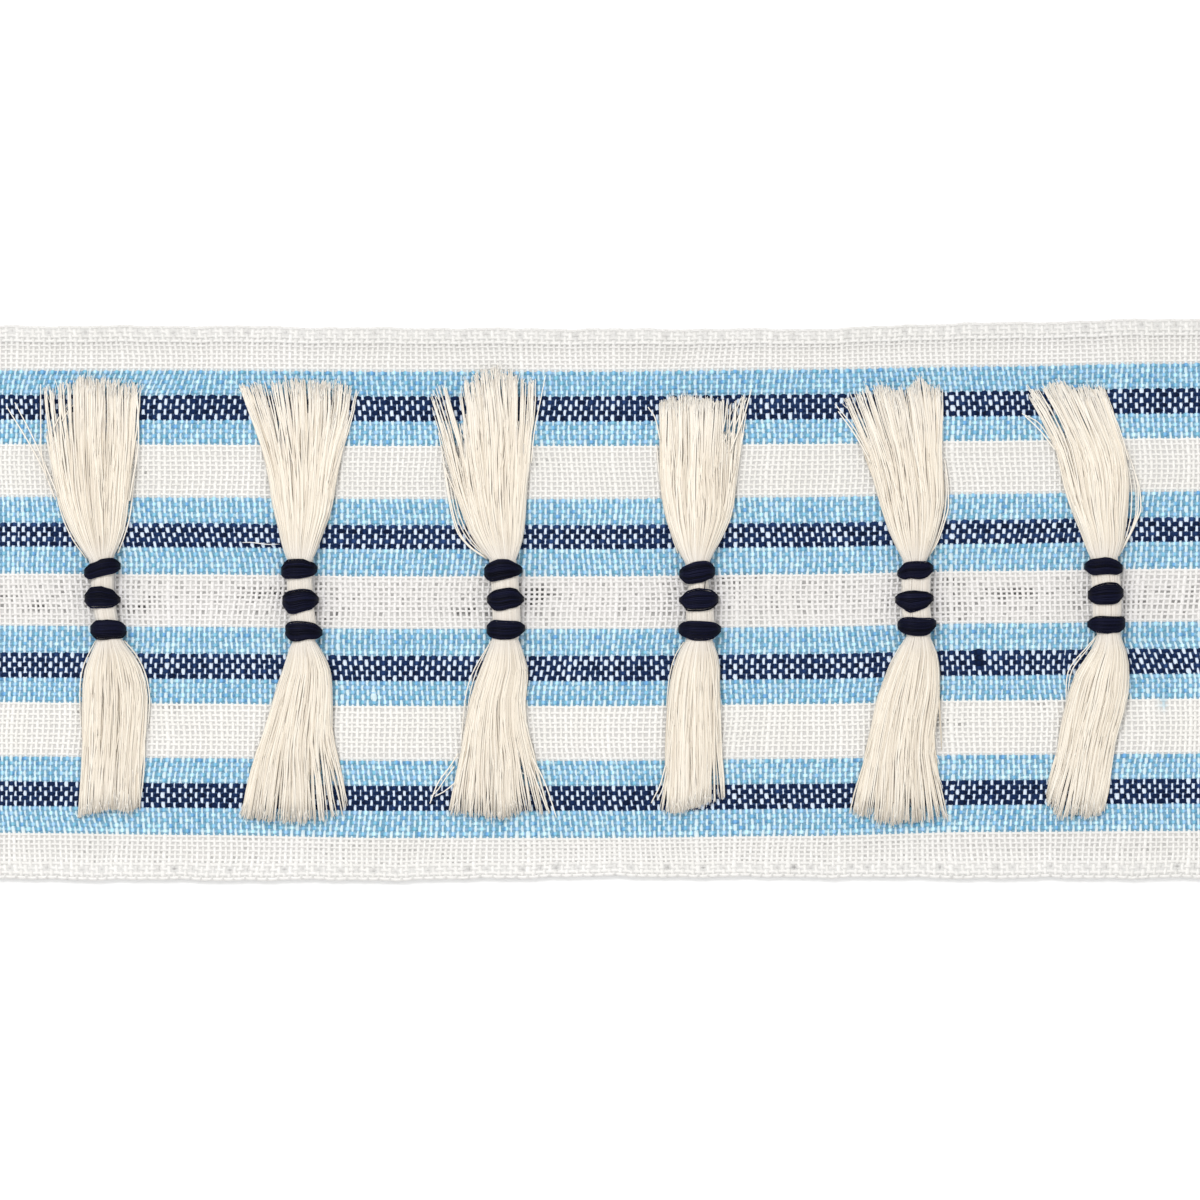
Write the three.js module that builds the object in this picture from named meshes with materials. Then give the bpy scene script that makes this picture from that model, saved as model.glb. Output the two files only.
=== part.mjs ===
// Eyelash fringe trim: a flat woven tape with six yarn tassels laid across it,
// each sewn down over its waist by three satin-stitch bars.
//
// Millimetres. X runs along the tape, Y across it, Z up from the surface the tape lies on.
// The origin is the middle of the tape's length and width, on its underside.

import * as THREE from "three";

// ---------------------------------------------------------------- driving sizes
const LENGTH = 231.2; // cut length of the tape
const STATIONS = 28; // steps along the tape
const CLOTH = 1.0; // thickness of the plain-woven cloth
const HEM_HEIGHT = 1.74; // height of the turned hems
const HEM_TOP = 2.2; // width of the hem along the +Y edge
const HEM_LOW = 2.75; // width of the hem along the -Y edge
const GAP = 0.3; // clearance between neighbouring pieces

const FAN_TIP = 1.1; // thickness of a tassel at its cut ends
const FAN_MIDDLE = 1.9; // thickness half way down a fan
const FAN_ROOT = 2.5; // thickness where a fan leaves the stitching
const PINCHED = 2.4; // thickness under a stitch bar
const SWELL_HEIGHT = 2.75; // thickness between two bars
const SWELL_WIDE = 5.35; // width between two bars
const LOCK_RIPPLE = 0.06; // unevenness of a fan's upper side, as a share of its thickness
const TASSEL_TOP_POINTS = 9; // points over the top of a tassel's section

const BAR_WALL = 0.55; // thickness of a stitch bar
const ARCH_GAP = 0.36; // clearance under a bar's arch, before its facets cut the corners
const BAR_CLEAR = 0.25; // length of pinched yarn past each side of a bar
const SLOPE_ROOM = 0.42; // rise of a bar's stitches that leaves no room to swell beside it
const BAR_STEPS = 12; // steps over a bar's arch
const BAR_SQUARE = 2.6; // exponent of the arch: 2 is an ellipse, more is squarer

// ---------------------------------------------------------------- tables
const table = (columns, rows) =>
  rows.map((row) => Object.fromEntries(columns.map((name, i) => [name, row[i]])));

// The two long edges of the tape, which bows a little in its own plane.
const EDGES = table(
  ["x", "top", "low"],
  [
    [-115.6, 50.4, -51.7],
    [-106.0, 50.45, -51.73],
    [-73.4, 50.45, -51.92],
    [-37.6, 50.08, -51.92],
    [0.0, 49.9, -51.27],
    [36.7, 49.9, -51.37],
    [70.6, 51.0, -51.55],
    [104.9, 51.7, -51.55],
    [115.6, 51.92, -51.55],
  ],
);

// Section of a hem, from the underside round the fold and in to the cloth: `in` is the distance
// from the edge as a share of the hem's width, `up` the height as a share of the hem's height.
const HEM = table(
  ["in", "up"],
  [
    [0.17, 0.0],
    [0.02, 0.22],
    [0.0, 0.66],
    [0.17, 0.95],
    [0.45, 1.0],
    [0.68, 0.93],
    [0.86, 0.97],
    [1.0, 0.86],
  ],
);

// The satin-stitch bars: middle, width along X, height along Y, and slope of the stitches in degrees.
const BARS = table(
  ["tassel", "place", "x", "y", "wide", "tall", "slope"],
  [
    [1, "top", -91.17, 5.5, 6.42, 3.3, 12],
    [1, "mid", -91.17, 0.37, 6.24, 3.85, 3],
    [1, "low", -90.07, -5.69, 6.24, 3.67, 2],
    [2, "top", -55.13, 5.5, 6.42, 3.67, 2],
    [2, "mid", -54.85, -0.55, 6.42, 4.22, 2],
    [2, "low", -54.12, -5.96, 6.42, 3.67, 0],
    [3, "top", -17.61, 5.32, 6.79, 3.67, 8],
    [3, "mid", -17.24, -0.09, 6.6, 4.04, 4],
    [3, "low", -17.06, -5.69, 6.6, 3.49, 0],
    [4, "top", 17.9, 4.82, 6.42, 4.04, 9],
    [4, "mid", 18.25, -0.18, 7.15, 4.04, 2],
    [4, "low", 18.46, -5.87, 7.7, 3.67, 0],
    [5, "top", 57.97, 5.17, 6.42, 3.3, 2],
    [5, "mid", 57.79, -0.37, 6.97, 4.04, -2],
    [5, "low", 58.26, -5.25, 6.97, 3.49, 0],
    [6, "top", 92.46, 5.96, 6.79, 3.39, 3],
    [6, "mid", 92.92, 0.92, 6.42, 3.94, 1],
    [6, "low", 92.92, -4.77, 6.7, 3.21, 0],
  ],
);

// Sections of the upper fans, from the cut ends down to the stitching: the two sides of the fan
// and the height of the section at each side.
const UPPER = table(
  ["tassel", "yLeft", "yRight", "left", "right"],
  [
    [1, 39.4, 40.0, -102.4, -84.6],
    [1, 33.2, 33.8, -102.0, -84.8],
    [1, 27.3, 27.3, -101.4, -84.9],
    [1, 18.2, 18.2, -99.6, -85.7],
    [1, 12.7, 12.7, -97.2, -86.6],
    [1, 8.8, 8.8, -94.3, -87.9],
    [2, 38.9, 38.9, -65.9, -44.4],
    [2, 33.2, 33.2, -64.4, -45.3],
    [2, 27.3, 27.3, -62.9, -46.2],
    [2, 18.2, 18.2, -60.5, -48.1],
    [2, 12.7, 12.7, -58.9, -50.1],
    [2, 8.8, 8.8, -57.8, -52.3],
    [3, 38.7, 40.2, -31.2, -11.0],
    [3, 33.2, 33.6, -30.1, -11.2],
    [3, 27.3, 27.3, -29.0, -11.6],
    [3, 18.2, 18.2, -27.5, -12.5],
    [3, 12.7, 12.7, -24.6, -13.4],
    [3, 8.8, 8.8, -21.3, -14.8],
    [4, 36.9, 36.9, 9.5, 27.0],
    [4, 32.1, 32.1, 10.1, 26.6],
    [4, 27.3, 27.3, 10.5, 26.0],
    [4, 18.2, 18.2, 11.0, 24.8],
    [4, 12.7, 12.7, 12.5, 23.3],
    [4, 8.6, 8.6, 14.6, 21.5],
    [5, 37.6, 40.2, 43.7, 62.7],
    [5, 32.8, 33.9, 45.7, 63.1],
    [5, 27.3, 27.3, 47.7, 63.3],
    [5, 18.2, 18.2, 50.1, 63.8],
    [5, 12.7, 12.7, 52.3, 62.6],
    [5, 8.4, 8.4, 54.7, 60.6],
    [6, 38.7, 39.8, 77.2, 92.8],
    [6, 32.8, 33.6, 80.2, 94.5],
    [6, 27.3, 27.3, 82.6, 96.3],
    [6, 18.2, 18.2, 85.7, 99.4],
    [6, 12.7, 12.7, 87.3, 97.4],
    [6, 9.2, 9.2, 89.0, 95.5],
  ],
);

// Sections of the lower fans, from the stitching down to the cut ends.
const LOWER = table(
  ["tassel", "yLeft", "yRight", "left", "right"],
  [
    [1, -8.9, -8.9, -93.4, -86.8],
    [1, -14.9, -14.9, -95.0, -83.1],
    [1, -24.0, -24.0, -95.4, -82.9],
    [1, -33.2, -33.2, -95.4, -83.8],
    [1, -39.1, -38.5, -95.9, -84.0],
    [2, -9.2, -9.2, -57.4, -50.6],
    [2, -14.9, -14.9, -59.4, -49.2],
    [2, -24.0, -24.0, -62.0, -48.8],
    [2, -33.2, -33.2, -64.2, -47.7],
    [2, -40.0, -40.5, -66.0, -45.9],
    [3, -8.9, -8.9, -21.1, -13.8],
    [3, -14.9, -14.9, -23.5, -13.4],
    [3, -24.0, -24.0, -25.3, -13.2],
    [3, -33.2, -33.2, -27.2, -11.0],
    [3, -39.8, -40.2, -27.9, -8.3],
    [4, -9.2, -9.2, 14.3, 21.8],
    [4, -14.9, -14.9, 12.5, 22.4],
    [4, -24.0, -24.0, 11.7, 22.7],
    [4, -33.2, -33.2, 11.6, 22.9],
    [4, -39.4, -36.7, 11.0, 22.9],
    [5, -8.6, -8.6, 55.0, 61.3],
    [5, -14.9, -14.9, 52.3, 62.6],
    [5, -24.0, -24.0, 49.2, 62.0],
    [5, -33.2, -33.2, 47.3, 62.4],
    [5, -40.0, -40.5, 46.0, 63.7],
    [6, -8.0, -8.0, 89.9, 96.5],
    [6, -13.0, -13.0, 85.7, 97.2],
    [6, -24.0, -24.0, 84.8, 95.8],
    [6, -33.2, -33.2, 82.6, 93.9],
    [6, -39.4, -40.0, 81.1, 92.6],
  ],
);

// ---------------------------------------------------------------- helpers
const lerp = THREE.MathUtils.lerp;
const smooth = (t) => t * t * (3 - 2 * t);

// A column of a table at x, eased from row to row so that it never overshoots.
function along(rows, x, column) {
  const last = rows.length - 2;
  let i = rows.findIndex((row, k) => k <= last && x <= rows[k + 1].x);
  if (i < 0) i = last;
  const t = THREE.MathUtils.clamp((x - rows[i].x) / (rows[i + 1].x - rows[i].x), 0, 1);
  return lerp(rows[i][column], rows[i + 1][column], smooth(t));
}

// A closed body through a row of closed rings, all with the same number of points. The two end
// rings are filled; `flat` gives the two coordinates in which an end ring is a plain outline.
function loft(rings, flat) {
  const n = rings[0].length;
  const positions = rings.flat().flatMap((p) => [p.x, p.y, p.z]);
  const index = [];
  for (let r = 0; r + 1 < rings.length; r++) {
    for (let k = 0; k < n; k++) {
      const a = r * n + k;
      const b = r * n + ((k + 1) % n);
      index.push(a, b, b + n, a, b + n, a + n);
    }
  }
  for (const r of [0, rings.length - 1]) {
    const outline = rings[r].map((p) => new THREE.Vector2(p[flat[0]], p[flat[1]]));
    const area = THREE.ShapeUtils.area(outline);
    for (const face of THREE.ShapeUtils.triangulateShape(outline, [])) {
      // the first ring is filled against the winding of the sides, the last ring with it
      const [a, b, c] = face.map((k) => r * n + k);
      const ccw = area > 0 === signed(outline, face) > 0;
      const along = r === 0 ? !ccw : ccw;
      index.push(...(along ? [a, b, c] : [a, c, b]));
    }
  }
  const geometry = new THREE.BufferGeometry();
  geometry.setAttribute("position", new THREE.Float32BufferAttribute(positions, 3));
  geometry.setIndex(volume(positions, index) < 0 ? flipped(index) : index);
  geometry.computeVertexNormals();
  return geometry;
}

function signed(outline, [a, b, c]) {
  return THREE.ShapeUtils.area([outline[a], outline[b], outline[c]]);
}

function flipped(index) {
  const out = [];
  for (let i = 0; i < index.length; i += 3) out.push(index[i], index[i + 2], index[i + 1]);
  return out;
}

function volume(p, index) {
  const at = (i) => new THREE.Vector3(p[3 * i], p[3 * i + 1], p[3 * i + 2]);
  let sum = 0;
  for (let i = 0; i < index.length; i += 3) {
    sum += at(index[i]).dot(at(index[i + 1]).cross(at(index[i + 2])));
  }
  return sum / 6;
}

// ---------------------------------------------------------------- tape
function tapeGeometry() {
  const rings = [];
  for (let i = 0; i <= STATIONS; i++) {
    const x = lerp(-LENGTH / 2, LENGTH / 2, i / STATIONS);
    const top = along(EDGES, x, "top");
    const low = along(EDGES, x, "low");
    const ring = [];
    // over the +Y hem, across the face, and over the -Y hem; the underside closes the ring
    for (const h of HEM) ring.push(new THREE.Vector3(x, top - h.in * HEM_TOP, h.up * HEM_HEIGHT));
    const inTop = top - 1.18 * HEM_TOP;
    const inLow = low + 1.18 * HEM_LOW;
    for (const t of [0, 0.25, 0.5, 0.75, 1]) ring.push(new THREE.Vector3(x, lerp(inTop, inLow, t), CLOTH));
    for (const h of [...HEM].reverse()) ring.push(new THREE.Vector3(x, low + h.in * HEM_LOW, h.up * HEM_HEIGHT));
    rings.push(ring);
  }
  return loft(rings, ["y", "z"]);
}

// ---------------------------------------------------------------- tassels
// Half the width that a bar leaves for the yarn under it.
const throat = (bar) => bar.wide / 2 - BAR_WALL - ARCH_GAP;

// One section of a tassel: flat below, domed above, with soft locks of yarn.
function tasselRing(s, phase) {
  const z0 = CLOTH + GAP;
  const place = (u, z) =>
    new THREE.Vector3(lerp(s.left, s.right, (u + 1) / 2), lerp(s.yLeft, s.yRight, (u + 1) / 2), z0 + z);
  const ring = [];
  for (let k = 0; k < TASSEL_TOP_POINTS; k++) {
    const u = -Math.cos((Math.PI * k) / (TASSEL_TOP_POINTS - 1));
    const dome = 0.18 + 0.82 * Math.sqrt(Math.max(0, 1 - u * u));
    const lock = s.free ? 1 + LOCK_RIPPLE * Math.sin(7 * u + phase) : 1;
    ring.push(place(u, s.thick * dome * lock));
  }
  for (const u of [0.86, 0.3, -0.3, -0.86]) ring.push(place(u, 0));
  return ring;
}

function tasselSections(number) {
  const bars = BARS.filter((bar) => bar.tassel === number);
  const fan = (rows, root) =>
    rows
      .filter((row) => row.tassel === number)
      .map((row, i, all) => {
        const t = i / (all.length - 1); // 0 at the first row, 1 at the last
        const s = root === "last" ? t : 1 - t; // 0 at the cut ends, 1 at the stitching
        const thick =
          s < 0.5 ? lerp(FAN_TIP, FAN_MIDDLE, 2 * s) : lerp(FAN_MIDDLE, FAN_ROOT, 2 * s - 1);
        return { ...row, thick, free: true };
      });
  const sections = refined(fan(UPPER, "last"));
  bars.forEach((bar, i) => {
    const lean = Math.abs(Math.tan(THREE.MathUtils.degToRad(bar.slope))) * bar.wide / 2;
    const reach = bar.tall / 2 + BAR_CLEAR + lean;
    for (const side of [1, -1]) {
      const y = bar.y + side * reach;
      sections.push({
        left: bar.x - throat(bar),
        right: bar.x + throat(bar),
        yLeft: y,
        yRight: y,
        thick: PINCHED,
      });
    }
    const next = bars[i + 1];
    if (next) {
      // between two bars the yarn swells, less where sloping stitches leave little room
      const x = (bar.x + next.x) / 2;
      const y = (bar.y - bar.tall / 2 - lean + next.y + next.tall / 2) / 2;
      const narrow = Math.min(throat(bar), throat(next));
      const room = THREE.MathUtils.clamp(1 - lean / SLOPE_ROOM, 0, 1);
      const half = lerp(narrow, Math.max(narrow, SWELL_WIDE / 2), room);
      sections.push({
        left: x - half,
        right: x + half,
        yLeft: y,
        yRight: y,
        thick: lerp(PINCHED, SWELL_HEIGHT, room),
      });
    }
  });
  return sections.concat(refined(fan(LOWER, "first")));
}

// The same sections with one more between each two, on a smooth curve through them.
function refined(sections) {
  const out = [];
  sections.forEach((s, i) => {
    out.push(s);
    const next = sections[i + 1];
    if (!next) return;
    const before = sections[Math.max(i - 1, 0)];
    const after = sections[Math.min(i + 2, sections.length - 1)];
    const middle = { free: true };
    for (const key of ["left", "right", "yLeft", "yRight", "thick"]) {
      middle[key] = (9 * (s[key] + next[key]) - before[key] - after[key]) / 16;
    }
    out.push(middle);
  });
  return out;
}

function tasselGeometry(number) {
  const rings = tasselSections(number).map((s, i) => tasselRing(s, 1.7 * number + 0.55 * i));
  return loft(rings, ["x", "z"]);
}

// ---------------------------------------------------------------- stitch bars
// An arch of satin stitches over the waist of a tassel, its two feet on the cloth.
function barGeometry(bar) {
  const halfX = throat(bar) + ARCH_GAP;
  const rise = PINCHED + ARCH_GAP;
  const lean = Math.tan(THREE.MathUtils.degToRad(bar.slope));
  const power = 2 / BAR_SQUARE;
  // across the bar: distance from its middle as a share of its height, and share of the wall
  const crown = table(
    ["v", "wall"],
    [
      [-0.5, 0.0],
      [-0.5, 0.55],
      [-0.36, 0.92],
      [0.0, 1.0],
      [0.36, 0.92],
      [0.5, 0.55],
      [0.5, 0.0],
    ],
  );
  const rings = [];
  for (let i = 0; i <= BAR_STEPS; i++) {
    const angle = (Math.PI * i) / BAR_STEPS;
    const c = -Math.cos(angle);
    const sx = Math.sign(c) * Math.abs(c) ** power;
    const sz = Math.sin(angle) ** power;
    rings.push(
      crown.map(({ v, wall }) => {
        const x = (halfX + wall * BAR_WALL) * sx;
        const z = i === 0 || i === BAR_STEPS ? 0 : (rise + wall * BAR_WALL) * sz;
        return new THREE.Vector3(bar.x + x, bar.y + v * bar.tall + x * lean, CLOTH + GAP + z);
      }),
    );
  }
  return loft(rings, ["x", "y"]);
}

// ---------------------------------------------------------------- assembly
const clothMaterial = () => new THREE.MeshStandardMaterial({ color: 0xc3cfdd, roughness: 0.92, metalness: 0 });
const yarnMaterial = () => new THREE.MeshStandardMaterial({ color: 0xefe4cf, roughness: 0.8, metalness: 0 });
const threadMaterial = () => new THREE.MeshStandardMaterial({ color: 0x11122b, roughness: 0.6, metalness: 0 });

function piece(name, geometry, material) {
  const mesh = new THREE.Mesh(geometry, material);
  mesh.name = name;
  return mesh;
}

const trim = new THREE.Group();
trim.add(piece("tape", tapeGeometry(), clothMaterial()));
for (const number of new Set(BARS.map((bar) => bar.tassel))) {
  const tuft = new THREE.Group();
  tuft.add(piece(`tassel_${number}`, tasselGeometry(number), yarnMaterial()));
  for (const bar of BARS.filter((row) => row.tassel === number)) {
    tuft.add(piece(`bar_${number}_${bar.place}`, barGeometry(bar), threadMaterial()));
  }
  trim.add(tuft);
}

export default trim;
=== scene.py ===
import math

import bpy
import numpy as np
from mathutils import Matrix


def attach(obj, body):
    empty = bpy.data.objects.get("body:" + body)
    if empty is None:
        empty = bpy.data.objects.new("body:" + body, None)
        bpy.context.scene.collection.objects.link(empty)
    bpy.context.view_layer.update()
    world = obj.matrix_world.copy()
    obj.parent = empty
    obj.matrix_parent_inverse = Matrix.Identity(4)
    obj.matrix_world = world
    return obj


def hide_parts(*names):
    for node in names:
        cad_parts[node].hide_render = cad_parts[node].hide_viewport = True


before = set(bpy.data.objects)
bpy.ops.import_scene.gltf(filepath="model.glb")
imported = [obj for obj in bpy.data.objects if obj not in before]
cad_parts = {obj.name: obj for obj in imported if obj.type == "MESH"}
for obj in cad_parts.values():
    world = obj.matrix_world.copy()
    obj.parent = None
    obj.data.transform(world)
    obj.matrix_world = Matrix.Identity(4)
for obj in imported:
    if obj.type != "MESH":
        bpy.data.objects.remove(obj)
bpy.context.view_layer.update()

MM = 0.001
rng = np.random.default_rng(20471)

# ---------------------------------------------------------------------------
# Sizes of the tape and its tassels, in millimetres, in the frame's own axes:
# X along the tape, Y across it, Z up from the surface it lies on.
# ---------------------------------------------------------------------------

# x, top edge, first stripe's start, last stripe's end, low edge
EDGES = np.array([
    [-115.6, 50.40, 42.05, -42.65, -51.70],
    [-106.0, 50.45, 42.01, -42.74, -51.73],
    [-73.4, 50.45, 42.01, -43.11, -51.92],
    [-37.6, 50.08, 41.83, -43.66, -51.92],
    [0.0, 49.90, 41.83, -43.66, -51.27],
    [36.7, 49.90, 42.19, -43.29, -51.37],
    [70.6, 51.00, 42.74, -42.56, -51.55],
    [104.9, 51.70, 43.29, -42.38, -51.55],
    [115.6, 51.92, 43.45, -42.33, -51.55],
])

# stripe, warp ends, where it stops as a fraction of the striped width
STRIPES = [
    ("blue", 5, 0.0522), ("navy", 5, 0.1066), ("blue", 5, 0.1588), ("white", 11, 0.2736),
    ("blue", 5, 0.3299), ("navy", 5, 0.3814), ("blue", 5, 0.4373), ("white", 11, 0.5537),
    ("blue", 5, 0.6102), ("navy", 5, 0.6649), ("blue", 5, 0.7174), ("white", 11, 0.8356),
    ("blue", 5, 0.8900), ("navy", 5, 0.9432), ("blue", 5, 1.0000),
]

# tassel, place, x, y, wide, tall, slope in degrees
BARS = [
    (1, "top", -91.17, 5.50, 6.42, 3.30, 12), (1, "mid", -91.17, 0.37, 6.24, 3.85, 3), (1, "low", -90.07, -5.69, 6.24, 3.67, 2),
    (2, "top", -55.13, 5.50, 6.42, 3.67, 2), (2, "mid", -54.85, -0.55, 6.42, 4.22, 2), (2, "low", -54.12, -5.96, 6.42, 3.67, 0),
    (3, "top", -17.61, 5.32, 6.79, 3.67, 8), (3, "mid", -17.24, -0.09, 6.60, 4.04, 4), (3, "low", -17.06, -5.69, 6.60, 3.49, 0),
    (4, "top", 17.90, 4.82, 6.42, 4.04, 9), (4, "mid", 18.25, -0.18, 7.15, 4.04, 2), (4, "low", 18.46, -5.87, 7.70, 3.67, 0),
    (5, "top", 57.97, 5.17, 6.42, 3.30, 2), (5, "mid", 57.79, -0.37, 6.97, 4.04, -2), (5, "low", 58.26, -5.25, 6.97, 3.49, 0),
    (6, "top", 92.46, 5.96, 6.79, 3.39, 3), (6, "mid", 92.92, 0.92, 6.42, 3.94, 1), (6, "low", 92.92, -4.77, 6.70, 3.21, 0),
]

# each bar's own outline: left end, right end, then its upper and lower edge above the bar's middle,
# at OUTLINE_AT of the half width
OUTLINE_AT = (-0.86, -0.6, -0.3, 0.0, 0.3, 0.6, 0.86)
OUTLINES = {
    (1, "top"): (-94.55, -88.02, (0.37, 1.02, 1.35, 1.84, 2.00, 2.06, 1.69), (-1.65, -1.89, -1.57, -1.33, -1.10, -0.91, -0.55)),
    (1, "mid"): (-94.47, -88.04, (0.95, 1.80, 1.93, 2.00, 1.69, 1.44, 0.52), (-1.36, -1.98, -1.99, -1.93, -1.95, -1.83, -1.39)),
    (1, "low"): (-93.40, -86.97, (1.22, 1.83, 1.85, 1.95, 1.87, 1.74, 1.35), (-1.01, -1.68, -1.76, -1.69, -1.54, -1.53, -1.41)),
    (2, "top"): (-58.40, -51.97, (0.91, 1.72, 1.79, 1.82, 1.78, 1.37, 1.14), (-1.62, -1.82, -1.79, -1.80, -1.65, -1.46, -1.18)),
    (2, "mid"): (-58.19, -51.66, (1.49, 1.94, 2.14, 2.29, 2.30, 2.14, 1.44), (-1.17, -2.15, -2.19, -1.89, -1.62, -1.40, -0.72)),
    (2, "low"): (-57.66, -50.98, (1.56, 1.79, 1.85, 1.82, 1.71, 1.48, 0.89), (-1.20, -1.76, -1.80, -1.61, -1.40, -1.42, -1.17)),
    (3, "top"): (-21.18, -14.34, (1.01, 1.51, 1.97, 2.00, 1.94, 1.42, 1.00), (-1.72, -2.14, -1.90, -1.74, -1.51, -1.23, -0.91)),
    (3, "mid"): (-20.64, -14.01, (1.11, 1.66, 1.91, 2.09, 2.16, 1.93, 1.06), (-1.11, -1.91, -2.01, -1.82, -1.54, -1.37, -0.84)),
    (3, "low"): (-20.73, -13.81, (1.37, 1.86, 1.77, 1.71, 1.68, 1.65, 1.31), (-1.20, -1.56, -1.75, -1.75, -1.69, -1.31, -0.68)),
    (4, "top"): (14.62, 21.03, (0.99, 1.42, 1.85, 2.09, 2.17, 2.10, 1.54), (-1.46, -2.04, -2.05, -1.90, -1.76, -1.29, -0.97)),
    (4, "mid"): (14.57, 21.67, (0.78, 1.59, 1.95, 2.10, 1.98, 1.87, 1.29), (-0.84, -1.94, -1.97, -1.96, -1.88, -1.64, -1.00)),
    (4, "low"): (14.46, 22.13, (1.57, 1.87, 1.92, 1.89, 1.82, 1.71, 1.33), (-0.90, -1.30, -1.70, -1.74, -1.70, -1.42, -0.70)),
    (5, "top"): (54.62, 61.10, (0.64, 1.50, 1.70, 1.75, 1.72, 1.71, 1.32), (-1.39, -1.59, -1.39, -1.51, -1.53, -1.18, -0.48)),
    (5, "mid"): (54.23, 61.12, (1.35, 1.68, 1.86, 1.91, 1.80, 1.73, 1.30), (-0.88, -1.43, -2.10, -1.90, -1.57, -1.16, -0.34)),
    (5, "low"): (54.68, 61.61, (1.68, 1.91, 1.90, 1.80, 1.76, 1.79, 1.63), (-0.84, -1.27, -1.49, -1.58, -1.55, -1.22, -0.31)),
    (6, "top"): (88.97, 95.82, (1.10, 1.43, 1.55, 1.73, 1.61, 1.20, 0.67), (-1.20, -1.68, -1.59, -1.50, -1.46, -1.59, -1.30)),
    (6, "mid"): (89.58, 95.96, (1.10, 1.55, 1.86, 2.05, 2.06, 1.92, 1.25), (-1.45, -1.84, -1.90, -1.88, -1.85, -1.64, -0.88)),
    (6, "low"): (89.47, 96.26, (1.16, 1.60, 1.67, 1.61, 1.58, 1.57, 1.58), (-0.83, -1.36, -1.49, -1.57, -1.41, -1.38, -0.86)),
}

# tassel: rows of y, left edge, right edge, from the tips to the upper bar
UPPER = {
    1: [(38.9, -102.2, -84.8), (33.4, -101.8, -84.9), (27.3, -101.0, -85.3), (22.0, -100.2, -85.8), (18.2, -99.4, -86.2), (15.0, -98.3, -86.7), (12.7, -97.3, -87.1), (10.5, -96.0, -87.8), (8.3, -94.5, -88.8), (7.2, -93.7, -89.2)],
    2: [(38.0, -65.9, -44.5), (33.2, -64.2, -45.3), (27.3, -62.2, -47.0), (22.0, -60.9, -48.1), (18.2, -60.3, -48.7), (15.0, -59.6, -49.5), (12.7, -59.0, -50.4), (10.5, -58.5, -51.2), (8.4, -57.9, -52.0), (7.4, -57.4, -52.5)],
    3: [(38.8, -31.6, -11.9), (33.3, -30.0, -12.1), (28.0, -28.7, -12.6), (24.0, -27.9, -12.8), (20.0, -26.9, -13.2), (16.0, -25.6, -13.5), (12.2, -24.0, -13.9), (9.6, -22.3, -14.4), (8.3, -21.3, -14.9), (7.3, -20.4, -15.3)],
    4: [(36.5, 10.6, 26.6), (32.0, 10.7, 26.2), (27.3, 10.7, 25.7), (22.0, 10.8, 25.2), (18.2, 11.3, 24.9), (15.0, 11.9, 24.2), (12.7, 12.7, 23.2), (10.5, 13.5, 22.1), (8.4, 14.5, 20.9), (6.9, 15.4, 20.2)],
    5: [(37.6, 44.0, 62.6), (33.0, 46.0, 62.9), (27.3, 48.4, 62.9), (22.0, 50.0, 63.1), (18.2, 50.9, 63.2), (15.0, 51.9, 62.7), (12.7, 52.7, 62.1), (10.5, 53.7, 61.4), (8.4, 54.7, 60.5), (6.9, 55.5, 59.9)],
    6: [(38.2, 77.4, 92.8), (33.0, 80.6, 94.5), (27.3, 83.3, 96.4), (22.0, 84.7, 97.2), (18.2, 85.7, 97.0), (15.0, 86.8, 96.5), (12.7, 87.8, 96.3), (10.5, 88.6, 96.0), (8.4, 89.4, 95.3), (7.6, 89.8, 94.9)],
}
# the same below the waist, from the lower bar to the tips
LOWER = {
    1: [(-7.4, -92.2, -87.5), (-8.6, -92.7, -86.7), (-9.7, -93.2, -85.8), (-10.8, -93.7, -85.0), (-13.0, -94.5, -83.9), (-15.0, -94.9, -83.2), (-18.0, -95.0, -82.8), (-24.0, -95.1, -83.1), (-28.0, -95.2, -83.5), (-33.0, -95.4, -83.9), (-38.8, -95.8, -84.1)],
    2: [(-7.7, -56.3, -52.1), (-8.6, -56.8, -51.5), (-10.8, -57.5, -50.2), (-13.0, -58.2, -49.3), (-15.0, -59.0, -49.0), (-18.0, -59.9, -48.9), (-24.0, -61.7, -48.9), (-28.0, -63.2, -48.3), (-33.0, -64.5, -47.2), (-39.5, -66.0, -45.9)],
    3: [(-7.4, -19.9, -14.9), (-8.6, -20.3, -14.4), (-10.8, -21.2, -13.7), (-13.0, -22.1, -13.2), (-15.0, -22.9, -13.3), (-18.0, -23.9, -13.7), (-24.0, -25.1, -13.0), (-28.0, -25.8, -12.0), (-33.0, -26.8, -10.8), (-39.4, -27.8, -9.2)],
    4: [(-7.6, 15.7, 20.7), (-8.6, 15.0, 21.1), (-10.8, 13.9, 21.8), (-13.0, 13.2, 22.1), (-15.0, 12.8, 22.1), (-18.0, 12.4, 22.2), (-24.0, 12.0, 22.3), (-28.0, 11.8, 22.5), (-33.0, 11.7, 22.7), (-38.0, 11.2, 22.9)],
    5: [(-6.8, 56.1, 60.5), (-8.6, 55.0, 61.4), (-10.8, 53.8, 62.1), (-13.0, 52.6, 62.4), (-15.0, 51.8, 62.5), (-18.0, 50.7, 62.4), (-24.0, 49.4, 61.7), (-28.0, 48.6, 61.5), (-33.0, 47.5, 62.3), (-39.8, 46.0, 63.7)],
    6: [(-6.4, 91.0, 95.4), (-8.6, 90.3, 96.2), (-10.8, 89.0, 96.8), (-13.0, 87.4, 97.1), (-15.0, 86.5, 97.1), (-18.0, 85.6, 96.9), (-24.0, 84.3, 95.3), (-28.0, 83.6, 94.4), (-33.0, 82.4, 93.6), (-38.6, 81.1, 92.6)],
}
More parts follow.
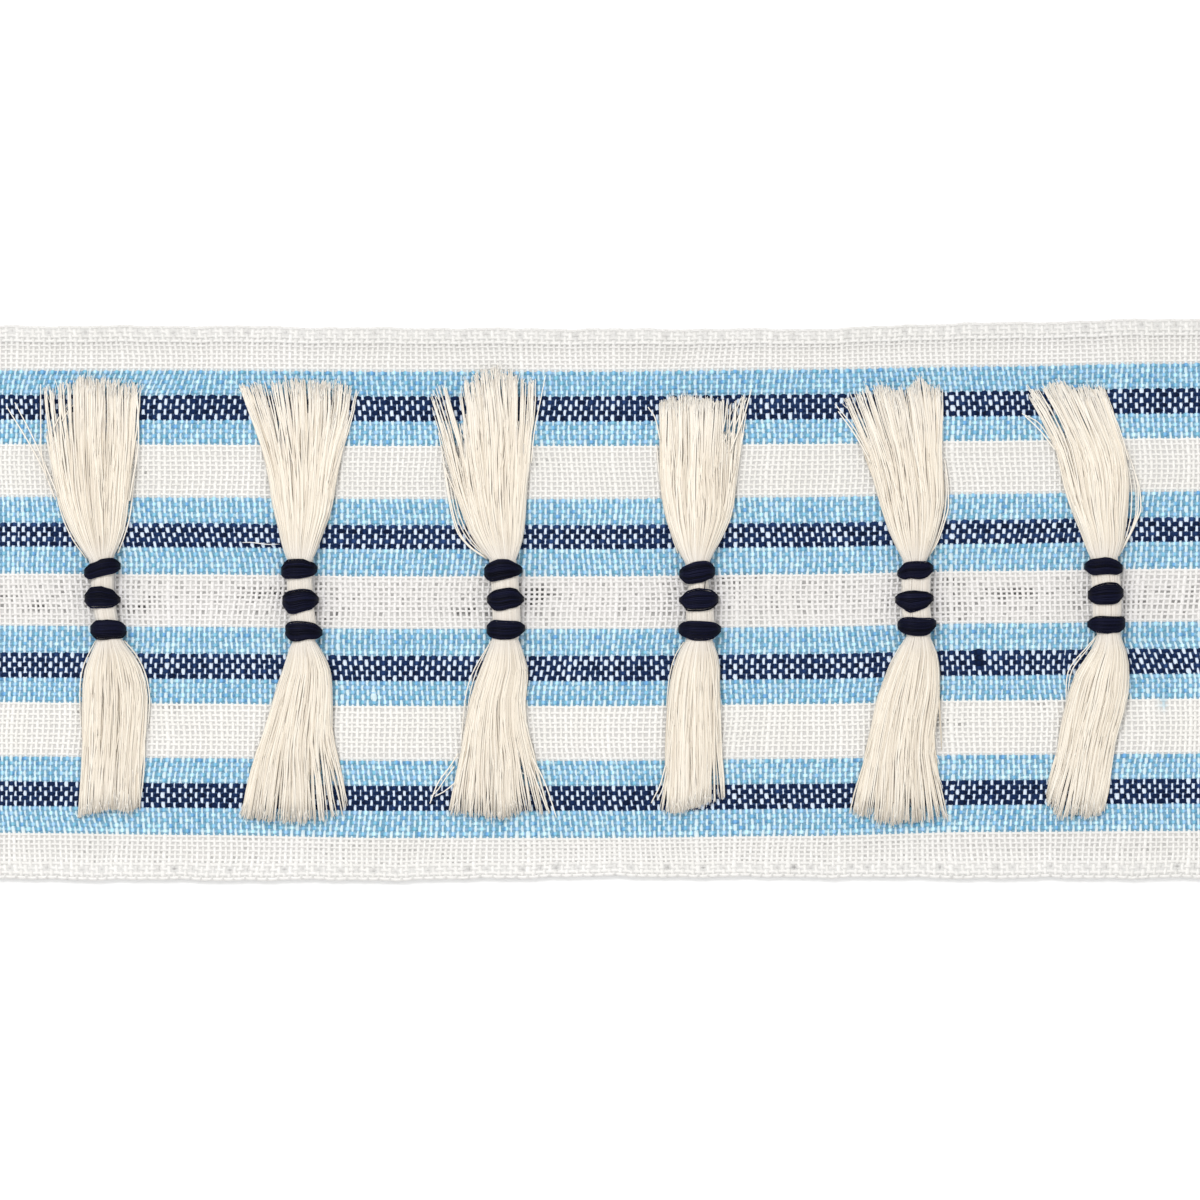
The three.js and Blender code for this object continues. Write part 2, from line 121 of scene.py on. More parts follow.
# tassel: half the bundle's width between its top and middle bar, and between its middle and low bar
WAISTS = {1: (2.15, 2.15), 2: (2.45, 2.45), 3: (2.60, 2.65), 4: (1.95, 2.70), 5: (2.75, 2.75), 6: (2.70, 2.70)}

# tassel: the line its cut ends make, as x, y
TIPS_UP = {
    1: [(-102.2, 38.7), (-99.1, 39.1), (-97.6, 39.6), (-95.4, 40.4), (-93.4, 40.3), (-90.8, 40.0), (-87.7, 39.4), (-84.9, 39.3)],
    2: [(-65.9, 38.9), (-62.0, 39.1), (-60.2, 39.4), (-55.6, 40.2), (-52.8, 39.6), (-49.5, 39.8), (-46.8, 39.1), (-44.6, 38.9)],
    3: [(-31.6, 36.1), (-29.4, 38.2), (-25.7, 39.1), (-22.9, 40.5), (-21.1, 41.8), (-17.4, 41.7), (-15.2, 40.5), (-13.8, 40.0), (-11.9, 39.6), (-10.8, 38.3)],
    4: [(10.5, 36.1), (12.5, 36.5), (15.0, 37.2), (18.3, 36.7), (22.4, 36.3), (24.8, 36.3), (27.3, 37.4)],
    5: [(43.3, 36.0), (45.9, 37.2), (48.8, 38.2), (51.0, 38.9), (54.5, 38.0), (56.5, 38.5), (59.3, 40.4), (61.8, 38.5), (62.6, 37.6)],
    6: [(77.1, 36.9), (79.2, 38.2), (82.6, 39.1), (85.5, 39.6), (87.3, 38.2), (89.9, 38.7), (92.5, 38.5)],
}
TIPS_LOW = {
    1: [(-95.8, -40.1), (-93.6, -39.3), (-90.8, -38.7), (-89.3, -38.5), (-86.6, -39.1), (-84.6, -38.2)],
    2: [(-66.0, -40.0), (-63.3, -40.4), (-57.1, -40.9), (-52.8, -40.7), (-50.3, -40.5), (-48.1, -39.3), (-46.0, -38.0)],
    3: [(-27.7, -39.1), (-23.5, -39.4), (-17.8, -40.5), (-15.6, -39.8), (-13.9, -38.9), (-11.0, -39.1), (-8.3, -40.0)],
    4: [(11.4, -38.3), (12.8, -39.4), (16.5, -38.5), (19.3, -37.6), (22.0, -36.7), (23.1, -36.3)],
    5: [(46.2, -38.7), (48.8, -40.2), (52.1, -41.1), (58.0, -40.7), (60.5, -40.5), (63.5, -40.2)],
    6: [(81.1, -36.3), (82.9, -38.5), (84.9, -40.4), (87.5, -39.3), (91.2, -39.8), (92.6, -38.0)],
}
# tassel: where the fan parts at its ends, as x, half width, share of the fan's length
PARTS_UP = {
    1: [(-97.9, 0.75, 0.35), (-87.3, 0.3, 0.40), (-85.9, 0.35, 0.35)],
    2: [(-60.9, 1.1, 0.58), (-56.9, 0.35, 0.25), (-53.8, 0.45, 0.25), (-49.0, 0.6, 0.30), (-45.5, 0.4, 0.35)],
    3: [(-27.0, 2.2, 0.42), (-14.7, 0.35, 0.45)],
    4: [(24.4, 0.7, 0.40), (25.6, 0.5, 0.40)],
    5: [(44.9, 0.6, 0.30), (46.4, 0.5, 0.30), (48.4, 0.5, 0.30), (49.9, 0.4, 0.25), (55.6, 0.4, 0.16), (60.5, 0.3, 0.25)],
    6: [(78.1, 0.5, 0.35), (80.0, 0.4, 0.35), (81.6, 0.3, 0.30), (87.3, 0.55, 0.16)],
}
PARTS_LOW = {
    1: [(-85.9, 0.2, 0.35)],
    2: [(-58.7, 0.3, 0.35), (-51.7, 0.6, 0.35), (-49.5, 0.6, 0.40), (-47.7, 0.6, 0.45)],
    3: [(-25.7, 0.4, 0.15), (-15.0, 0.3, 0.20), (-13.8, 0.6, 0.30), (-11.9, 0.8, 0.35), (-10.1, 0.8, 0.40)],
    4: [(11.9, 0.5, 0.25), (20.7, 0.4, 0.35), (22.0, 0.5, 0.40)],
    5: [(49.5, 0.3, 0.40), (56.9, 0.3, 0.30), (60.2, 0.5, 0.35), (61.5, 0.6, 0.40)],
    6: [(82.6, 0.5, 0.20), (84.8, 0.4, 0.25), (86.0, 0.5, 0.30), (87.7, 0.4, 0.25)],
}
# tassel: where the fan is thin at its ends, as from x, to x, share of strands that stop short
THIN_UP = {1: [(-102.6, -96.8, 0.62)], 2: [(-47.0, -44.0, 0.50), (-61.5, -57.0, 0.50)], 3: [(-32.5, -25.8, 0.66), (-15.0, -11.0, 0.40)],
           4: [(22.6, 27.5, 0.66)], 5: [(43.0, 50.5, 0.60)], 6: [(76.5, 82.0, 0.60)]}
THIN_LOW = {1: [(-86.0, -83.5, 0.30)], 2: [(-52.6, -45.5, 0.62)], 3: [(-14.6, -8.0, 0.60)], 4: [(20.4, 23.5, 0.55), (11.0, 12.4, 0.48)],
            5: [(59.5, 64.0, 0.58), (48.5, 50.0, 0.4)], 6: [(80.5, 86.5, 0.45)]}
# tassel: how unevenly it is cut above and below, in mm
RAGGED = {1: (0.36, 0.13), 2: (0.40, 0.30), 3: (0.52, 0.32), 4: (0.24, 0.13), 5: (0.42, 0.28), 6: (0.42, 0.40)}
# tassel, then the places that a strand lying apart from the fan goes through, as x, y
STRAYS = [
    (1, [(-99.8, 18.2), (-102.0, 23.6), (-104.6, 28.4), (-108.9, 35.4)]), (1, [(-99.4, 19.1), (-103.7, 29.0), (-107.3, 36.0)]),
    (1, [(-101.3, 21.8), (-102.5, 27.9), (-102.6, 39.4)]), (1, [(-100.2, 31.0), (-99.0, 33.6), (-97.1, 36.3)]),
    (1, [(-98.6, 32.6), (-97.4, 34.6), (-95.7, 36.6)]),
    (1, [(-86.2, 18.0), (-85.6, 22.0), (-84.9, 26.0), (-84.6, 30.0), (-84.7, 34.0), (-85.3, 38.0)]),
    (1, [(-92.4, -7.6), (-93.6, -9.8), (-94.8, -12.6), (-95.3, -15.4), (-95.4, -19.0), (-95.2, -23.5)]),
    (1, [(-87.3, -7.6), (-85.4, -9.8), (-83.9, -12.4), (-83.0, -15.2), (-82.6, -18.5), (-82.9, -23.0)]),
    (3, [(-20.7, 7.5), (-23.7, 9.5), (-25.8, 12.2), (-27.0, 16.0), (-27.8, 20.0), (-28.6, 25.0), (-29.6, 30.5)]),
    (3, [(-20.5, 7.6), (-23.1, 9.7), (-24.9, 12.0), (-26.3, 15.2), (-27.1, 18.8), (-27.8, 23.0)]),
    (3, [(-12.6, 25.0), (-12.0, 31.0), (-11.0, 36.0), (-10.0, 41.0)]),
    (3, [(-19.9, -7.7), (-21.4, -10.0), (-22.9, -12.6), (-24.0, -15.2), (-24.7, -18.2), (-25.1, -22.0), (-25.5, -27.0)]),
    (3, [(-20.0, -7.8), (-21.3, -10.4), (-22.5, -12.9), (-23.4, -15.6), (-24.1, -19.0), (-24.6, -23.0)]),
    (3, [(-26.0, -28.3), (-27.5, -30.7), (-29.7, -33.7), (-31.2, -37.5)]), (3, [(-26.7, -30.7), (-28.4, -33.0), (-30.0, -35.3), (-31.0, -36.2)]),
    (3, [(-26.5, -33.6), (-28.6, -35.3), (-30.3, -36.2)]), (3, [(-12.4, -29.0), (-10.0, -34.0), (-8.0, -40.1)]),
    (3, [(-13.0, -30.0), (-11.2, -34.7), (-9.7, -38.8)]),
    (4, [(11.0, 29.2), (10.1, 33.2), (8.8, 35.2)]), (4, [(20.5, 22.7), (24.2, 30.5), (26.9, 36.8)]),
    (4, [(21.1, 25.5), (23.8, 31.5), (25.9, 36.9)]), (4, [(23.8, 26.9), (26.2, 32.9), (27.8, 38.5)]),
    (4, [(12.0, -30.5), (11.0, -34.1), (9.4, -37.4)]), (4, [(12.2, -31.5), (11.5, -34.7), (10.5, -36.9)]),
    (4, [(15.4, -7.9), (13.9, -10.2), (13.0, -13.0), (12.5, -16.0), (12.2, -20.0)]),
    (5, [(49.2, 26.4), (46.8, 31.0), (43.1, 35.8)]), (5, [(49.6, 25.0), (46.9, 29.9), (43.7, 34.4)]),
    (5, [(60.2, 7.8), (61.7, 10.1), (63.0, 13.6), (63.9, 17.2), (63.8, 21.2), (63.2, 25.6)]),
    (5, [(60.2, 7.8), (61.4, 10.1), (62.5, 13.2), (63.3, 16.6), (63.5, 19.9), (63.4, 24.0)]),
    (5, [(56.2, -7.0), (54.5, -9.6), (53.2, -12.0), (52.0, -15.2), (51.0, -18.2)]),
    (6, [(82.6, 29.2), (80.3, 32.4), (77.4, 34.0)]), (6, [(83.4, 27.3), (80.6, 31.0), (77.9, 33.6)]),
    (6, [(96.9, 25.5), (95.0, 31.9), (92.7, 36.8)]),
    (6, [(95.0, 7.9), (96.6, 10.6), (98.2, 13.9), (99.2, 16.8), (99.0, 20.0), (98.0, 23.6)]),
    (6, [(95.0, 7.9), (96.3, 10.4), (97.6, 13.2), (98.3, 16.2), (98.3, 19.6), (97.6, 23.4)]),
    (6, [(91.1, -6.7), (89.1, -9.0), (86.9, -11.5), (85.8, -13.5), (85.5, -15.7), (85.5, -19.0), (85.1, -23.0)]),
    (6, [(91.1, -6.8), (89.4, -9.2), (87.6, -11.4), (86.5, -13.2), (86.0, -15.6), (85.7, -18.6)]),
    (6, [(95.0, 8.0), (96.0, 10.4), (96.9, 13.0), (97.4, 16.0), (97.5, 19.5), (97.0, 23.5), (95.9, 27.5)]),
    (6, [(94.9, 8.0), (95.7, 10.2), (96.3, 12.8), (96.7, 15.8), (96.9, 19.3), (96.5, 23.2), (95.4, 27.0)]),
    (6, [(95.1, 7.9), (96.5, 10.5), (97.9, 13.5), (98.7, 16.5), (98.7, 20.0), (97.9, 23.8), (96.6, 27.5)]),
    (5, [(60.1, 7.9), (61.1, 10.1), (62.0, 13.0), (62.7, 16.2), (62.9, 19.6), (62.8, 23.6), (62.3, 28.0)]),
    (3, [(-20.3, 7.6), (-22.4, 9.9), (-24.0, 12.6), (-25.2, 15.8), (-26.0, 19.5), (-26.8, 24.0)]),
    (3, [(-20.4, 7.6), (-22.7, 9.8), (-24.5, 12.4), (-25.8, 15.6), (-26.6, 19.0), (-27.3, 23.2), (-28.2, 28.0)]),
    (3, [(-20.8, 7.4), (-24.0, 9.6), (-26.2, 12.4), (-27.3, 16.0), (-28.0, 20.0), (-28.8, 25.0)]),
    (1, [(-88.4, 8.4), (-87.2, 11.6), (-86.2, 15.2), (-85.7, 19.5), (-85.3, 24.0), (-85.0, 29.0)]),
    (1, [(-94.2, 7.5), (-96.7, 11.0), (-98.6, 15.2), (-99.8, 20.0), (-100.7, 25.0), (-101.6, 30.0)]),
    (4, [(20.5, 8.4), (22.3, 11.4), (23.6, 15.0), (24.6, 19.0), (25.3, 24.0), (26.0, 29.0), (26.8, 34.0)]),
    (4, [(20.2, 8.6), (21.8, 11.8), (23.0, 15.6), (24.0, 20.0), (24.7, 25.0), (25.4, 30.0)]),
    (4, [(14.3, 8.4), (12.9, 12.6), (11.7, 17.4), (10.9, 22.5), (10.4, 28.0)]),
]

HALF_LENGTH = 115.6
CLOTH_MID = 0.50          # height of the cloth's middle
WARP_CRIMP = {"white": 0.075, "blue": 0.12, "navy": 0.21}    # how far a yarn rises and dips
WEFT_CRIMP = {"white": 0.075, "blue": 0.26, "navy": 0.16}
YARN_THICK = 0.22         # half the thickness of a yarn
HEM_TOP, HEM_LOW = 2.20, 2.75
FOLD_RADIUS = 0.45        # of the hem's fold, at the cloth's middle
FOLD_HEIGHT = 0.90
FOLD_INSET = 0.42         # fold's middle line inside the tape's edge
STITCH = 3.34             # hem stitch length
STITCH_INSET = {"top": 1.72, "low": 2.20}
HEM_ENDS = 10
UNDER_ENDS = 3
CLOTH_TOP = 0.98


def smooth(t):
    t = np.clip(t, 0.0, 1.0)
    return t * t * (3.0 - 2.0 * t)


def along(x, column):
    """A column of EDGES at x, eased between its rows."""
    rows = EDGES[:, 0]
    k = np.clip(np.searchsorted(rows, x) - 1, 0, len(rows) - 2)
    t = smooth((x - rows[k]) / (rows[k + 1] - rows[k]))
    return EDGES[k, column] + (EDGES[k + 1, column] - EDGES[k, column]) * t


def waves(x, y, spec):
    """Sum of slow sine waves: amplitude, x wavelength, y wavelength, phase."""
    total = np.zeros(np.broadcast(x, y).shape)
    for amp, lx, ly, ph in spec:
        total = total + amp * np.sin(2 * math.pi * (x / lx + y / ly) + ph)
    return total


# ---------------------------------------------------------------------------
# Joined meshes of many tubes
# ---------------------------------------------------------------------------

class Tubes:
    """Collects closed tubes and makes one mesh of them."""

    def __init__(self):
        self.verts, self.tone, self.tip, self.tint = [], [], [], []
        self.polys = []          # arrays of shape (faces, corners)
        self.uvs, self.rows, self.beats = [], [], []
        self.count = 0
        self.tubes = 0

    def add(self, P, S, N, a, b, sides, tone=0.5, tip=None, tint=None):
        """P, S, N: (tubes, rings, 3) centres, width and thickness directions; a, b: half sizes."""
        n, m, _ = P.shape
        a = np.broadcast_to(a, (n, m))
        b = np.broadcast_to(b, (n, m))
        turn = 0.0 if sides == 4 else 0.5
        th = 2 * math.pi * (np.arange(sides) + turn) / sides
        c, s = np.cos(th), np.sin(th)
        V = (P[:, :, None, :]
             + (a[:, :, None] * c)[..., None] * S[:, :, None, :]
             + (b[:, :, None] * s)[..., None] * N[:, :, None, :])
        T = np.gradient(P, axis=1)
        hand = np.einsum("nmk,nmk->nm", np.cross(S, N), T).sum() >= 0
        idx = self.count + np.arange(n * m * sides).reshape(n, m, sides)
        nxt = np.roll(idx, -1, axis=2)
        A, B, C, D = idx[:, :-1], nxt[:, :-1], nxt[:, 1:], idx[:, 1:]
        quad = np.stack([A, B, C, D] if hand else [D, C, B, A], axis=-1)
        step = np.linalg.norm(np.diff(P, axis=1), axis=2)
        dist = np.concatenate([np.zeros((n, 1)), np.cumsum(step, axis=1)], axis=1)
        full = np.maximum(dist[:, -1:], 1e-6)
        k = np.arange(sides)
        u0 = np.broadcast_to(dist[:, :-1, None], (n, m - 1, sides))
        u1 = np.broadcast_to(dist[:, 1:, None], (n, m - 1, sides))
        v0 = np.broadcast_to(k / sides, (n, m - 1, sides))
        v1 = np.broadcast_to((k + 1) / sides, (n, m - 1, sides))
        us = [u0, u0, u1, u1]
        vs = [v0, v1, v1, v0]
        if not hand:
            us, vs = us[::-1], vs[::-1]
        u = np.stack(us, axis=-1)
        v = np.stack(vs, axis=-1)
        row = self.tubes + np.arange(n)
        beat = np.broadcast_to(np.arange(m - 1)[None, :, None, None] + np.array([0, 0, 1, 1] if hand else [1, 1, 0, 0]), u.shape)
        self.beats.append(np.stack([beat, v], axis=-1).reshape(-1, 2))
        self.polys.append(quad.reshape(-1, 4))
        self.uvs.append(np.stack([u, v + turn / sides], axis=-1).reshape(-1, 2))
        self.rows.append(np.stack([(u / full[:, None, :, None]),
                                   v, np.broadcast_to(row[:, None, None, None], u.shape)], axis=-1).reshape(-1, 3))
        first, last = idx[:, 0, :], idx[:, -1, :]
        if hand:
            first = first[:, ::-1]
        else:
            last = last[:, ::-1]
        for cap, uu in ((first, 0.0), (last, 1.0)):
            self.polys.append(cap)
            vv = np.broadcast_to((np.arange(sides) + 0.5) / sides, cap.shape)
            uend = np.broadcast_to(full * uu, cap.shape)
            self.uvs.append(np.stack([uend, vv], axis=-1).reshape(-1, 2))
            self.beats.append(np.stack([np.full(cap.shape, uu * (m - 1)), vv], axis=-1).reshape(-1, 2))
            self.rows.append(np.stack([np.full(cap.shape, uu), vv,
                                       np.broadcast_to(row[:, None], cap.shape)], axis=-1).reshape(-1, 3))
        tone = np.asarray(tone, dtype=float)
        if tone.ndim == 1:
            tone = tone[:, None]
        tone = np.broadcast_to(tone, (n, m))
        self.tone.append(np.repeat(tone.reshape(-1), sides))
        tip = np.zeros((n, m)) if tip is None else np.broadcast_to(tip, (n, m))
        self.tip.append(np.repeat(tip.reshape(-1), sides))
        tint = np.ones((n, m, 3)) if tint is None else np.broadcast_to(tint, (n, m, 3))
        self.tint.append(np.repeat(tint.reshape(-1, 3), sides, axis=0))
        self.verts.append(V.reshape(-1, 3))
        self.count += n * m * sides
        self.tubes += n

    def make(self, name, material, beaten=False):
        rows = np.concatenate(self.rows)
        extra = {"beat": np.concatenate(self.beats)} if beaten else {}
        bake = np.stack([0.002 + 0.996 * rows[:, 0],
                         (rows[:, 2] + 0.06 + 0.88 * rows[:, 1]) / self.tubes], axis=-1)
        return mesh_object(name, np.concatenate(self.verts), self.polys, material,
                           floats={"tone": np.concatenate(self.tone), "tip": np.concatenate(self.tip)},
                           uvs={"yarn": np.concatenate(self.uvs), "OFBake": bake, **extra}, colours={"tint": np.concatenate(self.tint)})


def mesh_object(name, verts, polys, material, floats=None, uvs=None, colours=None):
    me = bpy.data.meshes.new(name)
    sizes = np.concatenate([np.full(len(p), p.shape[1], dtype=np.int64) for p in polys])
    loops = np.concatenate([p.reshape(-1) for p in polys]).astype(np.int32)
    starts = np.concatenate([[0], np.cumsum(sizes)[:-1]]).astype(np.int32)
    me.vertices.add(len(verts))
    me.vertices.foreach_set("co", (verts * MM).astype(np.float32).reshape(-1))
    me.loops.add(len(loops))
    me.loops.foreach_set("vertex_index", loops)
    me.polygons.add(len(sizes))
    me.polygons.foreach_set("loop_start", starts)
    me.update(calc_edges=True)
    me.validate()
    for key, values in (floats or {}).items():
        att = me.attributes.new(key, "FLOAT", "POINT")
        att.data.foreach_set("value", values.astype(np.float32))
    for key, values in (colours or {}).items():
        att = me.attributes.new(key, "FLOAT_COLOR", "POINT")
        att.data.foreach_set("color", np.concatenate([values, np.ones((len(values), 1))], axis=1).astype(np.float32).reshape(-1))
    for key, values in (uvs or {}).items():
        layer = me.uv_layers.new(name=key)
        layer.uv.foreach_set("vector", values.astype(np.float32).reshape(-1))
    me.shade_smooth()
    me.materials.append(material)
    ob = bpy.data.objects.new(name, me)
    bpy.context.scene.collection.objects.link(ob)
    return ob


def unit(v):
    return v / np.maximum(np.linalg.norm(v, axis=-1, keepdims=True), 1e-9)


def frames_of(P):
    """Level width and upright thickness directions along tubes P."""
    T = unit(np.gradient(P, axis=1))
    up = np.zeros_like(T)
    up[..., 2] = 1.0
    S = np.cross(T, up)
    bad = np.linalg.norm(S, axis=-1) < 0.05
    S[bad] = (1.0, 0.0, 0.0)
    S = unit(S)
    return S, np.cross(T, S)


# ---------------------------------------------------------------------------
# Materials
# ---------------------------------------------------------------------------

def new_material(name):
    mat = bpy.data.materials.new(name)
    mat.use_nodes = True
    nt = mat.node_tree
    bsdf = next(n for n in nt.nodes if n.type == "BSDF_PRINCIPLED")
    return mat, nt, bsdf


def node(nt, kind, **props):
    n = nt.nodes.new(kind)
    for k, v in props.items():
        setattr(n, k, v)
    return n


def math_node(nt, op, a, b=None, clamp=False):
    n = node(nt, "ShaderNodeMath", operation=op, use_clamp=clamp)
    for k, v in enumerate((a, b)):
        if v is None:
            continue
        if isinstance(v, (int, float)):
            n.inputs[k].default_value = v
        else:
            nt.links.new(v, n.inputs[k])
    return n.outputs[0]


def ramp(nt, fac, stops, mode="LINEAR"):
    n = node(nt, "ShaderNodeValToRGB")
    n.color_ramp.interpolation = mode
    el = n.color_ramp.elements
    while len(el) < len(stops):
        el.new(0.5)
    for e, (p, c) in zip(el, stops):
        e.position = p
        e.color = (*c, 1.0)
    nt.links.new(fac, n.inputs[0])
    return n.outputs[0]


def yarn_material(name, stops, rough=0.85, run=2.5, tone_gain=0.55, patch_gain=0.9, twist=1.1, plies=2.0,
                  bump=0.5, depth=0.00004, sheen=0.15, spec=0.25, streak=0.16, tip_colour=None, tinted=False, beat=0.0, edge=0.0):
    """Spun yarn: colour from a ramp over per-yarn tone and patches along it, with twist and fibre lines; edge paints
    shade along a strand's sides, beat paints light over each crossing and shade between them.
    """
    mat, nt, bsdf = new_material(name)
    tone = node(nt, "ShaderNodeAttribute", attribute_name="tone").outputs["Fac"]
    uv = node(nt, "ShaderNodeUVMap", uv_map="yarn").outputs["UV"]
    sep = node(nt, "ShaderNodeSeparateXYZ")
    nt.links.new(uv, sep.inputs[0])
    place = node(nt, "ShaderNodeCombineXYZ")
    nt.links.new(math_node(nt, "DIVIDE", sep.outputs["X"], run), place.inputs[0])
    nt.links.new(math_node(nt, "MULTIPLY", tone, 977.0), place.inputs[1])
    big = node(nt, "ShaderNodeTexNoise")
    big.inputs["Scale"].default_value = 1.0
    big.inputs["Detail"].default_value = 3.0
    nt.links.new(place.outputs[0], big.inputs["Vector"])
    f = math_node(nt, "MULTIPLY", math_node(nt, "SUBTRACT", tone, 0.5), tone_gain)
    g = math_node(nt, "MULTIPLY", math_node(nt, "SUBTRACT", big.outputs["Fac"], 0.5), patch_gain)
    fac = math_node(nt, "ADD", math_node(nt, "ADD", f, g), 0.5, clamp=True)
    colour = ramp(nt, fac, stops)
    lay = math_node(nt, "ADD", math_node(nt, "DIVIDE", sep.outputs["X"], twist), math_node(nt, "MULTIPLY", sep.outputs["Y"], plies))
    ply = math_node(nt, "SINE", math_node(nt, "MULTIPLY", lay, 2 * math.pi))
    fibre = node(nt, "ShaderNodeTexNoise")
    fibre.inputs["Scale"].default_value = 1.0
    fibre.inputs["Detail"].default_value = 4.0
    comb = node(nt, "ShaderNodeCombineXYZ")
    nt.links.new(math_node(nt, "MULTIPLY", sep.outputs["X"], 1.3), comb.inputs[0])
    nt.links.new(math_node(nt, "MULTIPLY", lay, 5.0), comb.inputs[1])
    nt.links.new(math_node(nt, "MULTIPLY", tone, 37.0), comb.inputs[2])
    nt.links.new(comb.outputs[0], fibre.inputs["Vector"])
    shade = math_node(nt, "ADD", math_node(nt, "MULTIPLY", fibre.outputs["Fac"], 2 * streak), 1.0 - streak)
    if edge:
        # painted shade along both sides of a strand
        painted_flank_shade = math_node(nt, "POWER", math_node(nt, "ABSOLUTE", math_node(nt, "COSINE", math_node(nt, "MULTIPLY", sep.outputs["Y"], 2 * math.pi))), 2.0)
        shade = math_node(nt, "MULTIPLY", shade, math_node(nt, "SUBTRACT", 1.0, math_node(nt, "MULTIPLY", painted_flank_shade, edge)))
    if beat:
        # painted light over each crossing, painted shade between two of them
        turn = node(nt, "ShaderNodeSeparateXYZ")
        nt.links.new(node(nt, "ShaderNodeUVMap", uv_map="beat").outputs["UV"], turn.inputs[0])
        crossing_light = math_node(nt, "COSINE", math_node(nt, "MULTIPLY", turn.outputs["X"], 2 * math.pi))
        shade = math_node(nt, "MULTIPLY", shade, math_node(nt, "ADD", math_node(nt, "MULTIPLY", crossing_light, beat), 1.0))
    mul = node(nt, "ShaderNodeVectorMath", operation="SCALE")
    nt.links.new(colour, mul.inputs[0])
    nt.links.new(shade, mul.inputs["Scale"])
    out = mul.outputs[0]
    if tip_colour is not None:
        mix = node(nt, "ShaderNodeMix", data_type="RGBA")
        tip = node(nt, "ShaderNodeAttribute", attribute_name="tip").outputs["Fac"]
        nt.links.new(tip, mix.inputs[0])
        nt.links.new(out, mix.inputs[6])
        mix.inputs[7].default_value = (*tip_colour, 1.0)
        out = mix.outputs[2]
    if tinted:
        dye = node(nt, "ShaderNodeVectorMath", operation="MULTIPLY")
        nt.links.new(out, dye.inputs[0])
        nt.links.new(node(nt, "ShaderNodeAttribute", attribute_name="tint").outputs["Color"], dye.inputs[1])
        out = dye.outputs[0]
    nt.links.new(out, bsdf.inputs["Base Color"])
    h = math_node(nt, "ADD", math_node(nt, "MULTIPLY", ply, 0.35), fibre.outputs["Fac"])
    bn = node(nt, "ShaderNodeBump")
    bn.inputs["Strength"].default_value = bump
    bn.inputs["Distance"].default_value = depth
    nt.links.new(h, bn.inputs["Height"])
    nt.links.new(bn.outputs[0], bsdf.inputs["Normal"])
    bsdf.inputs["Roughness"].default_value = rough
    bsdf.inputs["Specular IOR Level"].default_value = spec
    bsdf.inputs["Sheen Weight"].default_value = sheen
    bsdf.inputs["Sheen Roughness"].default_value = 0.5
    return mat


WHITE_YARN = yarn_material("white_yarn", [(0.0, (0.735, 0.72, 0.69)), (0.5, (0.775, 0.76, 0.735)), (1.0, (0.81, 0.795, 0.77))], tinted=True)
# beat paints light over each crossing of the blue and navy ends and shade between them
BLUE_YARN = yarn_material("blue_yarn", [(0.0, (0.13, 0.33, 0.59)), (0.22, (0.17, 0.42, 0.53)), (0.40, (0.22, 0.46, 0.68)),
                                        (0.56, (0.31, 0.50, 0.74)), (0.76, (0.35, 0.63, 0.77)), (1.0, (0.52, 0.74, 0.85))],
                          tone_gain=0.30, patch_gain=3.4, run=1.2, streak=0.14, beat=0.27)
NAVY_YARN = yarn_material("navy_yarn", [(0.0, (0.002, 0.007, 0.029)), (0.5, (0.006, 0.020, 0.074)), (1.0, (0.022, 0.055, 0.16))],
                          streak=0.25, sheen=0.03, spec=0.10, patch_gain=2.2, run=1.5, beat=0.30)
# edge paints shade along both sides of each tassel strand
ECRU_STRAND = yarn_material("ecru_strand", [(0.0, (0.742, 0.662, 0.55)), (0.5, (0.857, 0.776, 0.658)), (1.0, (0.935, 0.873, 0.768))],
                            tone_gain=1.0, patch_gain=0.4, run=9.0, twist=0.9, plies=2.0, streak=0.08, sheen=0.2,
                            tip_colour=(0.915, 0.88, 0.82), tinted=True, edge=0.33)
NAVY_THREAD = yarn_material("navy_thread", [(0.0, (0.0010, 0.0012, 0.0050)), (1.0, (0.0062, 0.0071, 0.0250))],
                            rough=0.45, twist=0.5, streak=0.3, sheen=0.0, spec=0.08, depth=0.00003, tone_gain=1.0)


